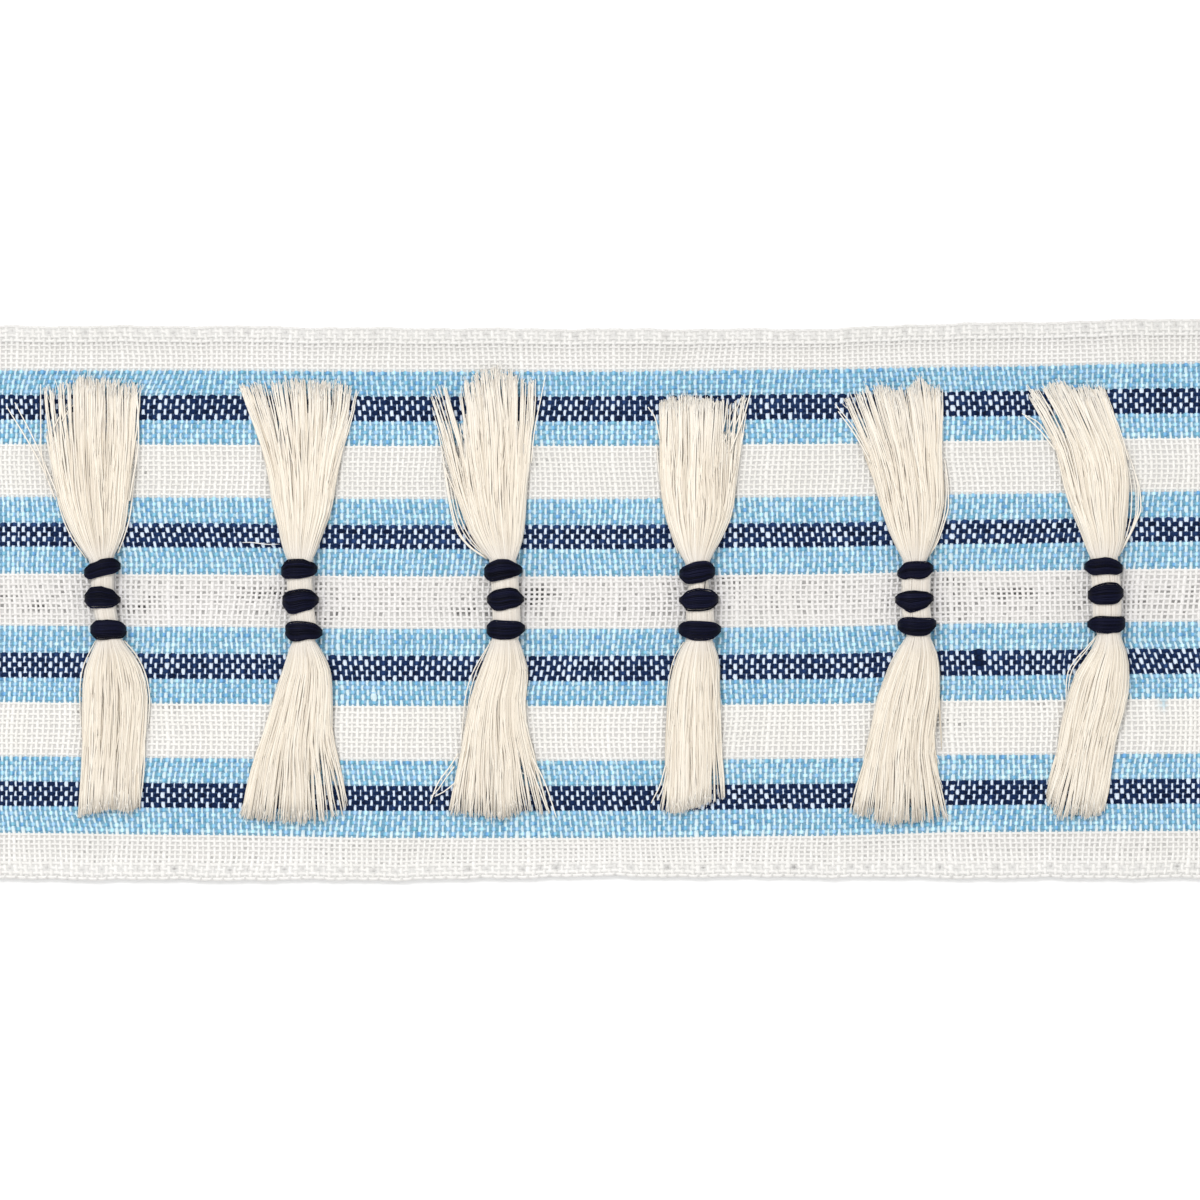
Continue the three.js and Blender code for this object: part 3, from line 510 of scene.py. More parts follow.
def core_material():
    """Ground between the yarns, its colour the painted shade seen through the weave's holes: the stripe colours, a
    shade deeper, over the width, with some holes painted darker.
    """
    mat, nt, bsdf = new_material("weave_ground_hole_shade")
    uv = node(nt, "ShaderNodeUVMap", uv_map="yarn").outputs["UV"]
    sep = node(nt, "ShaderNodeSeparateXYZ")
    nt.links.new(uv, sep.inputs[0])
    shade = {"white": (0.86, 0.84, 0.815), "blue": (0.27, 0.52, 0.70), "navy": (0.034, 0.070, 0.175)}
    stops, start = [(0.0, (0.95, 0.94, 0.91)), (0.032, shade["white"])], 0.10
    for kind, ends, stop in STRIPES:
        stops.append((start, shade[kind]))
        start = 0.10 + 0.80 * stop
    stops += [(0.90, shade["white"]), (0.968, (0.97, 0.96, 0.93))]
    colour = ramp(nt, sep.outputs["X"], stops, "CONSTANT")
    # one value for each hole of the weave
    cell = node(nt, "ShaderNodeVectorMath", operation="FLOOR")
    nt.links.new(node(nt, "ShaderNodeUVMap", uv_map="cell").outputs["UV"], cell.inputs[0])
    hole = node(nt, "ShaderNodeTexWhiteNoise", noise_dimensions="2D")
    nt.links.new(cell.outputs[0], hole.inputs["Vector"])
    near = node(nt, "ShaderNodeTexNoise")
    near.inputs["Scale"].default_value = 0.11
    near.inputs["Detail"].default_value = 2.0
    nt.links.new(cell.outputs[0], near.inputs["Vector"])
    dark = node(nt, "ShaderNodeAttribute", attribute_name="dark").outputs["Fac"]
    each = math_node(nt, "ADD", math_node(nt, "MULTIPLY", hole.outputs["Value"], 0.45), 0.35)
    open_ = math_node(nt, "ADD", math_node(nt, "MULTIPLY", math_node(nt, "SUBTRACT", near.outputs["Fac"], 0.5), 0.35), math_node(nt, "SUBTRACT", each, dark))
    # painted shade in each hole: a lower value gives a darker hole
    deep = node(nt, "ShaderNodeMapRange", interpolation_type="SMOOTHSTEP")
    nt.links.new(open_, deep.inputs["Value"])
    deep.inputs["From Min"].default_value = -0.3
    deep.inputs["From Max"].default_value = 0.45
    deep.inputs["To Min"].default_value = 0.08
    deep.inputs["To Max"].default_value = 0.645
    mul = node(nt, "ShaderNodeVectorMath", operation="SCALE")
    nt.links.new(colour, mul.inputs[0])
    nt.links.new(deep.outputs[0], mul.inputs["Scale"])
    nt.links.new(mul.outputs[0], bsdf.inputs["Base Color"])
    noise = node(nt, "ShaderNodeTexNoise")
    noise.inputs["Scale"].default_value = 900.0
    coord = node(nt, "ShaderNodeTexCoord").outputs["Object"]
    nt.links.new(coord, noise.inputs["Vector"])
    bn = node(nt, "ShaderNodeBump")
    bn.inputs["Strength"].default_value = 0.4
    bn.inputs["Distance"].default_value = 0.00005
    nt.links.new(noise.outputs["Fac"], bn.inputs["Height"])
    nt.links.new(bn.outputs[0], bsdf.inputs["Normal"])
    bsdf.inputs["Roughness"].default_value = 0.95
    bsdf.inputs["Specular IOR Level"].default_value = 0.1
    return mat


HOLE_SHADE_GROUND = core_material()

# ---------------------------------------------------------------------------
# The weave's grid: every crossing of a warp end and a weft pick
# ---------------------------------------------------------------------------

picks = [-115.05]
while picks[-1] < 114.6:
    x = picks[-1]
    pitch = 0.948 + 0.060 * float(smooth(np.array((x + 95.0) / 35.0)))
    picks.append(x + pitch * (1.0 + 0.07 * rng.uniform(-1, 1)))
picks = np.array(picks)
NJ = len(picks)

kinds, part_of, place_of = [], [], []
for k in range(UNDER_ENDS):
    kinds.append("white"); part_of.append("top"); place_of.append(-(0.46 + 0.80 * (UNDER_ENDS - 1 - k)))
for k in range(HEM_ENDS):
    kinds.append("white"); part_of.append("top"); place_of.append(k / (HEM_ENDS - 1))
start = 0.0
for kind, ends, stop in STRIPES:
    for k in range(ends):
        kinds.append(kind); part_of.append("face")
        place_of.append(start + (stop - start) * (k + 0.5) / ends + (0.0014 if kind == "white" else 0.0007) * rng.uniform(-1, 1))
    start = stop
for k in range(HEM_ENDS):
    kinds.append("white"); part_of.append("low"); place_of.append(1.0 - k / (HEM_ENDS - 1))
for k in range(UNDER_ENDS):
    kinds.append("white"); part_of.append("low"); place_of.append(-(0.46 + 0.80 * k))
kinds = np.array(kinds); part_of = np.array(part_of); place_of = np.array(place_of)
NI = len(kinds)

EDGE_WAVES = {1: [(0.09, 23.0, 1e9, 0.4), (0.07, 9.7, 1e9, 2.1), (0.05, 5.3, 1e9, 4.0)],
              4: [(0.10, 27.0, 1e9, 1.4), (0.08, 11.3, 1e9, 0.3), (0.05, 6.1, 1e9, 5.0)]}
SKEW = [(0.17, 61.0, 17.0, 0.7), (0.15, -83.0, 23.0, 2.4), (0.08, 29.0, -12.0, 4.1), (0.30, 140.0, 60.0, 1.0)]
# where the picks lean: from x, to x, fade, from y, to y, slope
LEANS = [(-200, -80, 20, 37.4, 42.6, 0.26), (-88, -64, 14, 7.0, 19.0, -0.16), (99, 200, 6, -15.0, -7.5, -0.33),
         (-112, -94, 10, -43.0, -38.5, -0.30), (-14, 4, 12, -40.0, -28.0, -0.14), (60, 84, 14, 22.0, 42.0, -0.08)]


def lean(x, y):
    total = np.zeros_like(x)
    for x0, x1, fade, y0, y1, slope in LEANS:
        w = smooth((x - x0 + fade) / fade) * smooth((x1 + fade - x) / fade)
        inside = np.clip(y, y0, y1)
        total += w * slope * (inside - (y0 + y1) / 2) * np.exp(-((y - inside) / 16.0) ** 2)
    return total


def hem_place(q, part, x):
    """Point and normal of the hem's middle surface at q: over 0..1 on the face, below 0 in mm on the turned-under side."""
    r = FOLD_RADIUS
    deep = HEM_TOP if part == "top" else HEM_LOW
    edge = along(x, 1 if part == "top" else 4) + waves(x, 0.0 * x, EDGE_WAVES[1 if part == "top" else 4])
    stripe = along(x, 2 if part == "top" else 3)
    nose = edge - FOLD_INSET if part == "top" else edge + FOLD_INSET
    reach = np.abs(nose - stripe) + (math.pi / 2 - 1) * r
    d = np.full(x.shape, q) if q < 0 else 0.46 + q * (reach - 0.92)
    th = np.clip(d / r, -math.pi / 2, math.pi / 2)
    flat = np.maximum(np.abs(d) - r * math.pi / 2, 0.0)
    inset = r * (1 - np.cos(th)) + flat
    z = FOLD_HEIGHT + r * np.sin(th)
    drop = smooth((inset + FOLD_INSET - 1.06 * deep) / (0.95 * deep))
    z = np.where(d > 0, z + (CLOTH_MID - FOLD_HEIGHT - r) * drop, z)
    sign = 1.0 if part == "top" else -1.0
    y = nose - sign * inset
    ny = np.where(np.abs(d) < r * math.pi / 2, sign * np.cos(th), 0.0)
    nz = np.where(np.abs(d) < r * math.pi / 2, np.sin(th), np.sign(d))
    # the stitch line presses the hem down, most where the thread goes in
    line = np.exp(-((inset + FOLD_INSET - STITCH_INSET[part]) / 0.55) ** 2)
    hole = np.exp(-(((x + 1.1) / STITCH - np.round((x + 1.1) / STITCH)) * STITCH / 0.42) ** 2)
    z = np.where(d > 0, z - line * (0.04 + 0.10 * hole), z)
    return y, z, ny, nz


def crossings(x):
    """y, z and normals of every end at the x of each crossing; x is (picks, ends)."""
    Y = np.zeros_like(x); Z = np.full_like(x, CLOTH_MID); NY = np.zeros_like(x); NZ = np.ones_like(x)
    for i in range(NI):
        xi = x[:, i]
        if part_of[i] == "face":
            a, b = along(xi, 2), along(xi, 3)
            Y[:, i] = a + (b - a) * place_of[i]
        else:
            Y[:, i], Z[:, i], NY[:, i], NZ[:, i] = hem_place(float(place_of[i]), part_of[i], xi)
    return Y, Z, NY, NZ


X = np.repeat(picks[:, None], NI, axis=1)
Y, Z, NY, NZ = crossings(X)
ease = smooth((HALF_LENGTH - np.abs(X)) / 12.0)
X = X + ease * (waves(X, Y, SKEW) + lean(X, Y)) + 0.035 * rng.normal(size=X.shape)
Y, Z, NY, NZ = crossings(X)
Y = Y + 0.030 * rng.normal(size=Y.shape) * (part_of == "face")[None, :]
up = ((np.arange(NJ)[:, None] + np.arange(NI)[None, :]) % 2 == 0).astype(float) * 2 - 1


def crossing_near(x0, y0):
    j = int(np.argmin(np.abs(picks - x0)))
    return j, int(np.argmin(np.abs(Y[j] - y0) + 100.0 * (part_of != "face")))


# one pick runs under three navy ends
j_slip, i_slip = crossing_near(69.7, -10.6)
up[j_slip, i_slip - 1:i_slip + 2] = 1.0
CENTRE = np.stack([X, Y, Z], axis=-1)
NORMAL = np.stack([np.zeros_like(NY), NY, NZ], axis=-1)
ACROSS = np.stack([np.zeros_like(NY), -NZ, NY], axis=-1)

# --- warp ends, along the tape -------------------------------------------------

WARP_HALF = {"white": 0.258, "blue": 0.328, "navy": 0.370}
SPREADS = {"white": 0.0, "blue": 0.24, "navy": 0.20}    # a yarn is wider where it lies on top
warp_half = np.array([WARP_HALF[k] for k in kinds])[None, :] * (1 + 0.05 * rng.normal(size=(1, NI)))
warp_half = warp_half * (1 + np.where(kinds == "navy", 0.13, 0.07)[None, :] * np.clip(rng.normal(size=X.shape), -2, 2)) * (1 + np.array([SPREADS[k] for k in kinds])[None, :] * up)
turned = (part_of != "face") & (place_of < 0.34)
mid_y = Y[NJ // 2]
closer = np.where(turned, 1.30, np.where((kinds == "white") & (mid_y < -15.0) & (mid_y > -30.0), 1.055, 1.0))
warp_half = warp_half * closer[None, :]
for i in range(NI):
    for x0 in rng.uniform(-115, 115, rng.integers(1, 5)):
        warp_half[:, i] *= 1 + rng.uniform(0.08, 0.25) * np.exp(-((X[:, i] - x0) / rng.uniform(0.8, 2.4)) ** 2)


def swell_at(x0, y0, amount, reach):
    """Thickens the warp end nearest to a place, as a slub does."""
    j, i = crossing_near(x0, y0)
    warp_half[:, i] *= 1 + amount * np.exp(-((X[:, i] - x0) / reach) ** 2)


warp_half[j_slip, i_slip - 1:i_slip + 2] *= 1.25
swell_at(103.3, -18.9, 0.4, 0.8)

warp_P = CENTRE + (np.array([WARP_CRIMP[k] for k in kinds])[None, :] * up)[..., None] * NORMAL
start_P = warp_P[:1].copy(); end_P = warp_P[-1:].copy()
start_P[..., 0] = -HALF_LENGTH + 0.15 - np.abs(rng.normal(0, 0.35, (1, NI)))
end_P[..., 0] = HALF_LENGTH - 0.15 + np.abs(rng.normal(0, 0.35, (1, NI)))
for tail in (start_P, end_P):
    tail[..., 1] += rng.normal(0, 0.18, (1, NI))
    tail[..., 2] = np.maximum(tail[..., 2] - 0.1, 0.25)
warp_P = np.concatenate([start_P, warp_P, end_P])
warp_N = np.concatenate([NORMAL[:1], NORMAL, NORMAL[-1:]])
warp_S = np.concatenate([ACROSS[:1], ACROSS, ACROSS[-1:]])
warp_a = np.concatenate([warp_half[:1] * 0.7, warp_half, warp_half[-1:] * 0.7])
warp_b = np.full(warp_a.shape, YARN_THICK)
warp_b[0] *= 0.7; warp_b[-1] *= 0.7
warp_tone = rng.uniform(0, 1, NI)
outer_navy = (kinds == "navy") & ((place_of < 0.2) | (place_of > 0.8))
warp_tone = np.where(outer_navy, 0.35 * warp_tone, warp_tone)
first_blue = (kinds == "blue") & (place_of < 0.053)
last_blue = (kinds == "blue") & (place_of > 0.947)
warp_tone = np.where(first_blue, 0.45 * warp_tone, np.where(last_blue, 0.35 + 0.65 * warp_tone, warp_tone))

# the white is made a little greyer around each bar, and in the middle band
cloth_tint = np.ones(X.shape + (3,))
near_bars = np.zeros_like(X)
for _, _, bx, by, _, _, _ in BARS:
    near_bars = np.maximum(near_bars, np.exp(-((X - bx) / 4.7) ** 4 - ((Y - by) / 2.6) ** 2))
cloth_tint -= near_bars[..., None] * np.array([0.085, 0.080, 0.045])
cloth_tint -= np.exp(-(Y / 4.9) ** 4)[..., None] * np.array([0.010, 0.018, 0.008])
cloth_tint -= (np.exp(-((Y - 23.5) / 5.5) ** 4) + np.exp(-((Y + 22.5) / 5.5) ** 4))[..., None] * np.array([0.0, 0.002, 0.014])
cloth_tint += waves(X, Y, [(0.005, 47.0, 31.0, 0.3), (0.005, -71.0, 23.0, 2.2), (0.004, 29.0, -19.0, 4.4)])[..., None] * np.array([1.0, 1.0, 1.4])
cloth_tint -= np.exp(-((X - 103.2) / 0.50) ** 2 - ((Y + 18.9) / 1.3) ** 2)[..., None] * np.array([0.52, 0.24, 0.06])
# the hems: paler below, with painted shade along the upper fold and in the dimples where the needle went in
for part, line, sign in (("top", 1, -1.0), ("low", 4, 1.0)):
    seam = along(X, line) + waves(X, 0.0 * X, EDGE_WAVES[line]) + sign * STITCH_INSET[part]
    hole = ((X + 1.1) / STITCH - np.round((X + 1.1) / STITCH)) * STITCH
    dimple_shade_depth = 0.25 + 0.75 * ((np.round((X + 1.1) / STITCH) * 0.6180340 + 0.2) % 1.0)
    dimple_shade = dimple_shade_depth * np.exp(-((Y - seam) / 0.46) ** 2 - (hole / 0.48) ** 2) * (part_of == part)[None, :] * (place_of > 0)[None, :]
    # painted shade in each stitch dimple
    cloth_tint -= dimple_shade[..., None] * np.array([0.62, 0.62, 0.61])
cloth_tint += np.where(part_of == "low", np.where(place_of < 0.12, 0.012, np.where(place_of < 0.45, 0.012, 0.0)), 0.0)[None, :, None]
# painted shade along the upper hem, deepest at and under its folded edge
cloth_tint -= np.where(part_of == "top", np.where(place_of < 0.05, 0.11, np.where(place_of < 0.12, 0.035, np.where(place_of < 0.25, 0.015, 0.012))), 0.0)[None, :, None]
cloth_tint += (0.028 * smooth((-17.0 - Y) / 1.0) * smooth((Y + 28.5) / 1.0))[..., None]
warp_tint = np.concatenate([cloth_tint[:1], cloth_tint, cloth_tint[-1:]]) * np.where(kinds == "white", 0.975, 1.0)[None, :, None]

pieces = []


def warps(name, chosen, material):
    t = Tubes()
    pick = lambda arr: np.ascontiguousarray(np.swapaxes(arr, 0, 1)[chosen])
    t.add(pick(warp_P), pick(warp_S), pick(warp_N), pick(warp_a), pick(warp_b), 5, tone=warp_tone[chosen], tint=pick(warp_tint))
    ob = t.make(name, material, beaten=True)
    pieces.append((ob, "striped_cloth"))
    return ob


warp_pieces = [warps("warp_white", kinds == "white", WHITE_YARN),
               warps("warp_blue", kinds == "blue", BLUE_YARN),
               warps("warp_navy", kinds == "navy", NAVY_YARN)]

# --- weft picks, across the tape, turned under at both hems ----------------------

WEFT_HALF = {"white": 0.324, "blue": 0.252, "navy": 0.279}
VARIES = {"white": 0.05, "blue": 0.15, "navy": 0.30}
weft_half = np.array([WEFT_HALF[k] for k in kinds])[None, :] * (1 + 0.09 * rng.normal(size=(NJ, 1)))
weft_half = weft_half * (1 + np.array([VARIES[k] for k in kinds])[None, :] * np.clip(rng.normal(size=X.shape), -2, 2))
weft_half = weft_half * np.where(outer_navy, 0.90, np.where((kinds == "blue") & (place_of < 0.053), 0.90, 1.0))[None, :]
# painted blue cast on the white weft in the blue and navy stripes: light bounced from the ends around it
WEFT_BOUNCE_TINT = {"white": (1.0, 1.0, 1.0), "blue": (0.79, 1.00, 1.11), "navy": (0.85, 0.985, 1.19)}
weft_tint = np.array([WEFT_BOUNCE_TINT[k] for k in kinds])[None] * cloth_tint
weft_tint = weft_tint * np.where(first_blue[None, :, None], np.array([0.90, 0.945, 0.975]), 1.0)
weft_half = weft_half * np.where(turned, 1.26, closer)[None, :]
thick = rng.random(NJ) < 0.06
for x0 in (-80.2, 2.4):
    thick[int(np.argmin(np.abs(picks - x0)))] = True
weft_half = weft_half * np.where(thick, 1.30, 1.0)[:, None]
j_slub, i_slub = crossing_near(-41.8, -18.0)
weft_half[j_slub, i_slub - 1:i_slub + 1] *= 2.1
weft_P = CENTRE - (np.array([WEFT_CRIMP[k] for k in kinds])[None, :] * up)[..., None] * NORMAL
weft_P[j_slub, i_slub - 1:i_slub + 1, 2] += 0.32
weft_S = np.zeros_like(weft_P); weft_S[..., 0] = 1.0
weft_tone = rng.uniform(0, 1, NJ)
for k, (j0, j1) in enumerate(((0, NJ // 2), (NJ // 2, NJ))):
    t = Tubes()
    t.add(weft_P[j0:j1], weft_S[j0:j1], NORMAL[j0:j1], weft_half[j0:j1], YARN_THICK, 5, tone=weft_tone[j0:j1], tint=weft_tint[j0:j1])
    ob = t.make("weft_%d" % (k + 1), WHITE_YARN)
    pieces.append((ob, "striped_cloth"))

# --- the cloth's ground sheet between the yarns, coloured as the painted shade in the weave's holes ---

rows = np.unique(np.concatenate([np.arange(0, NJ, 4), [NJ - 1]]))
lift = np.zeros(NI)
for i in range(NI):
    if part_of[i] != "face" and 0 <= place_of[i] < 0.26:
        lift[i] = 0.06
SHEET_HALF = 0.07
G = CENTRE[rows] + (lift[None, :, None]) * NORMAL[rows]
G[0, :, 0] = -HALF_LENGTH + 0.2
G[-1, :, 0] = HALF_LENGTH - 0.2
top, bottom = G + SHEET_HALF * NORMAL[rows], G - SHEET_HALF * NORMAL[rows]
R = len(rows)
verts = np.concatenate([top.reshape(-1, 3), bottom.reshape(-1, 3)])
it = np.arange(R * NI).reshape(R, NI)
ib = it + R * NI


def grid_quads(ix):
    return np.stack([ix[:-1, :-1], ix[:-1, 1:], ix[1:, 1:], ix[1:, :-1]], axis=-1).reshape(-1, 4)


def rim(a, b, c, d):
    return np.stack([a, b, c, d], axis=-1).reshape(-1, 4)


faces_top = grid_quads(it)[:, ::-1]
faces_bottom = grid_quads(ib)
# the outward side of the top faces: ends run from +Y to -Y, rows along +X
v0, v1, v2 = verts[faces_top[len(faces_top) // 2][:3]]
if np.cross(v1 - v0, v2 - v0)[2] < 0:
    faces_top, faces_bottom = faces_top[:, ::-1], faces_bottom[:, ::-1]
edges = [rim(it[0, 1:], it[0, :-1], ib[0, :-1], ib[0, 1:]), rim(it[-1, :-1], it[-1, 1:], ib[-1, 1:], ib[-1, :-1]),
         rim(it[:-1, 0], it[1:, 0], ib[1:, 0], ib[:-1, 0]), rim(it[1:, -1], it[:-1, -1], ib[:-1, -1], ib[1:, -1])]
polys = [np.concatenate([faces_top, faces_bottom] + edges)]
frac = np.zeros(NI)
for i in range(NI):
    p = place_of[i]
    if part_of[i] == "face":
        frac[i] = 0.10 + 0.80 * p
    elif part_of[i] == "top":
        frac[i] = 0.095 * max(p, 0.0)
    else:
        frac[i] = 1.0 - 0.095 * max(p, 0.0)
loops = polys[0].reshape(-1)
flat_i = loops % (R * NI)
uv = np.stack([frac[flat_i % NI], (flat_i // NI) / (R - 1)], axis=-1)
side = (loops >= R * NI).astype(float)
bake = np.stack([0.005 + 0.49 * (flat_i % NI) / (NI - 1) + 0.5 * side, 0.005 + 0.99 * (flat_i // NI) / (R - 1)], axis=-1)
cell = np.stack([flat_i % NI, rows[flat_i // NI]], axis=-1).astype(float)
# how dark the painted shade in each hole is: deeper near each bar, at the listed spots and along the middle band, with
# set values in the hems, the blue and the navy
dark = np.zeros((R, NI))
for _, _, bx, by, _, _, _ in BARS:
    dark += 0.16 * np.exp(-((G[..., 0] - bx) / 6.5) ** 2 - ((G[..., 1] - by) / 3.0) ** 2)
for dx, dy, size, amount in ((-79.0, -19.8, 5.0, 0.5), (-46.5, -20.2, 4.0, 0.5), (-11.0, -24.3, 1.6, 0.7), (64.0, -22.8, 3.0, 0.6), (62.5, -26.5, 1.6, 0.7),
                             (-84.0, 23.0, 3.5, 0.5), (-10.3, 25.0, 2.2, 0.6), (82.5, -19.3, 3.0, 0.5), (45.5, -19.8, 2.5, 0.5), (-96.6, -20.8, 2.0, 0.5),
                             (75.0, 1.0, 5.0, 0.65), (66.5, -3.6, 2.0, 0.6), (63.0, 3.3, 2.0, 0.6), (97.0, -1.1, 2.0, 0.5), (-12.6, -0.1, 1.2, 0.7), (-11.8, 1.3, 1.2, 0.7),
                             (-26.3, -2.1, 2.2, 0.75), (26.1, 3.7, 3.0, 0.55), (-103.2, -1.4, 0.9, 0.8), (-85.2, -1.1, 2.6, 0.5), (-60.3, 1.1, 6.0, 0.45),
                             (-50.3, -3.3, 2.5, 0.55), (-109.5, 0.2, 2.0, 0.5)):
    dark += amount * np.exp(-((G[..., 0] - dx) / size) ** 2 - ((G[..., 1] - dy) / 0.9) ** 2)
dark += (0.29 + 0.10 * np.sin(2.4 * np.arange(NI)))[None, :] * np.exp(-(G[..., 1] / 4.6) ** 4)
band = np.where(place_of > 0.33, np.where(part_of == "top", -0.12, 0.16), -0.6)
dark = np.where(part_of == "face", np.where(kinds == "navy", -0.6, np.where(kinds == "blue", -0.02, dark)), band)
dark = np.concatenate([dark.reshape(-1), dark.reshape(-1)])
cloth = mesh_object("tape_cloth", verts, polys, HOLE_SHADE_GROUND, floats={"dark": dark}, uvs={"yarn": uv, "OFBake": bake, "cell": cell})
# faces outward on the rims too
import bmesh
bm = bmesh.new()
bm.from_mesh(cloth.data)
bmesh.ops.recalc_face_normals(bm, faces=bm.faces)
bm.to_mesh(cloth.data)
bm.free()
pieces.append((cloth, "striped_cloth"))

# --- hem stitching --------------------------------------------------------------

hem_thread = Tubes()
for part, line in (("top", 1), ("low", 4)):
    xs = np.arange(-HALF_LENGTH + 0.5, HALF_LENGTH - 0.5, STITCH / 8)
    edge = along(xs, line) + waves(xs, 0.0 * xs, EDGE_WAVES[line])
    ph = (xs + 1.1) / STITCH
    near = np.abs(ph - np.round(ph)) * 2
    y = edge - STITCH_INSET[part] if part == "top" else edge + STITCH_INSET[part]
    y = y + 0.06 * np.sin(2 * math.pi * ph + 1.0)
    z = 0.80 + 0.34 * np.sin(np.clip(near, 0, 1) * math.pi / 2) ** 0.6
    P = np.stack([xs, y, z], axis=-1)[None]
    S, N = frames_of(P)
    hem_thread.add(P, S, N, 0.12, 0.12, 6, tone=0.6)
hem_stitch = hem_thread.make("hem_stitching", WHITE_YARN)
pieces.append((hem_stitch, "striped_cloth"))

# --- a loose thread end lying on the cloth ----------------------------------------

loose = Tubes()
s = np.linspace(0, 1, 16)
P = np.stack([-65.6 + 6.9 * s, 10.35 - 0.35 * s + 0.10 * np.sin(7 * s), 1.06 + 0.08 * np.sin(math.pi * s)], axis=-1)[None]
S, N = frames_of(P)
loose.add(P, S, N, 0.10 * (1 - 0.6 * np.abs(2 * s - 0.9) ** 3)[None], 0.10, 5, tone=0.9)
loose_end = loose.make("loose_thread", WHITE_YARN)
pieces.append((loose_end, "striped_cloth"))

# ---------------------------------------------------------------------------
# Tassels
# ---------------------------------------------------------------------------

STRANDS = 190


def tassel_profile(n):
    """Knots down the tassel: y, left, right, thickness of the bundle."""
    rows = []
    up_rows = UPPER[n]
    for y, left, right in up_rows:
        t = (up_rows[0][0] - y) / (up_rows[0][0] - up_rows[-1][0])
        rows.append((y, left, right, 0.90 + 1.75 * float(smooth(np.array(t)))))
    bars = [b for b in BARS if b[0] == n]
    above, below = WAISTS[n]
    for k, (_, place, x, y, wide, tall, slope) in enumerate(bars):
        half = (above, (above + below) / 2, below)[k] - 0.05
        rows.append((y, x - half, x + half, 2.55))
        if k < 2:
            _, _, x2, y2, wide2, tall2, _ = bars[k + 1]
            half2 = (above, below)[k]
            rows.append(((y + y2) / 2, (x + x2) / 2 - half2, (x + x2) / 2 + half2, 2.65))
    low_rows = LOWER[n]
    for y, left, right in low_rows:
        t = (y - low_rows[-1][0]) / (low_rows[0][0] - low_rows[-1][0])
        rows.append((y, left, right, 0.90 + 1.75 * float(smooth(np.array(t)))))
    return np.array(rows, dtype=float)


def ease_interp(y, knots, values):
    """Monotone cubic through knots."""
    k, v = (knots, values) if knots[0] < knots[-1] else (knots[::-1], values[::-1])
    h = np.diff(k)
    d = np.diff(v) / h
    m = np.zeros(len(v))
    both = d[:-1] + d[1:]
    m[1:-1] = np.where(d[:-1] * d[1:] > 0, 2 * d[:-1] * d[1:] / np.where(np.abs(both) < 1e-9, 1e-9, both), 0.0)
    m[0], m[-1] = d[0], d[-1]
    j = np.clip(np.searchsorted(k, y) - 1, 0, len(k) - 2)
    t = (y - k[j]) / h[j]
    inside = np.clip(t, 0, 1)
    t2, t3 = inside ** 2, inside ** 3
    val = (v[j] * (2 * t3 - 3 * t2 + 1) + v[j + 1] * (3 * t2 - 2 * t3)
           + h[j] * (m[j] * (t3 - 2 * t2 + inside) + m[j + 1] * (t3 - t2)))
    return val + np.where(t > 1, (t - 1) * h[j] * m[j + 1], 0) + np.where(t < 0, t * h[j] * m[j], 0)


def through(points, m):
    """A smooth run of m places through the given ones."""
    w = np.array(points)
    s = np.concatenate([[0], np.cumsum(np.linalg.norm(np.diff(w, axis=0), axis=1))])
    q = np.linspace(0, s[-1], m)
    return np.stack([ease_interp(q, s, w[:, 0]), ease_interp(q, s, w[:, 1])], axis=-1)


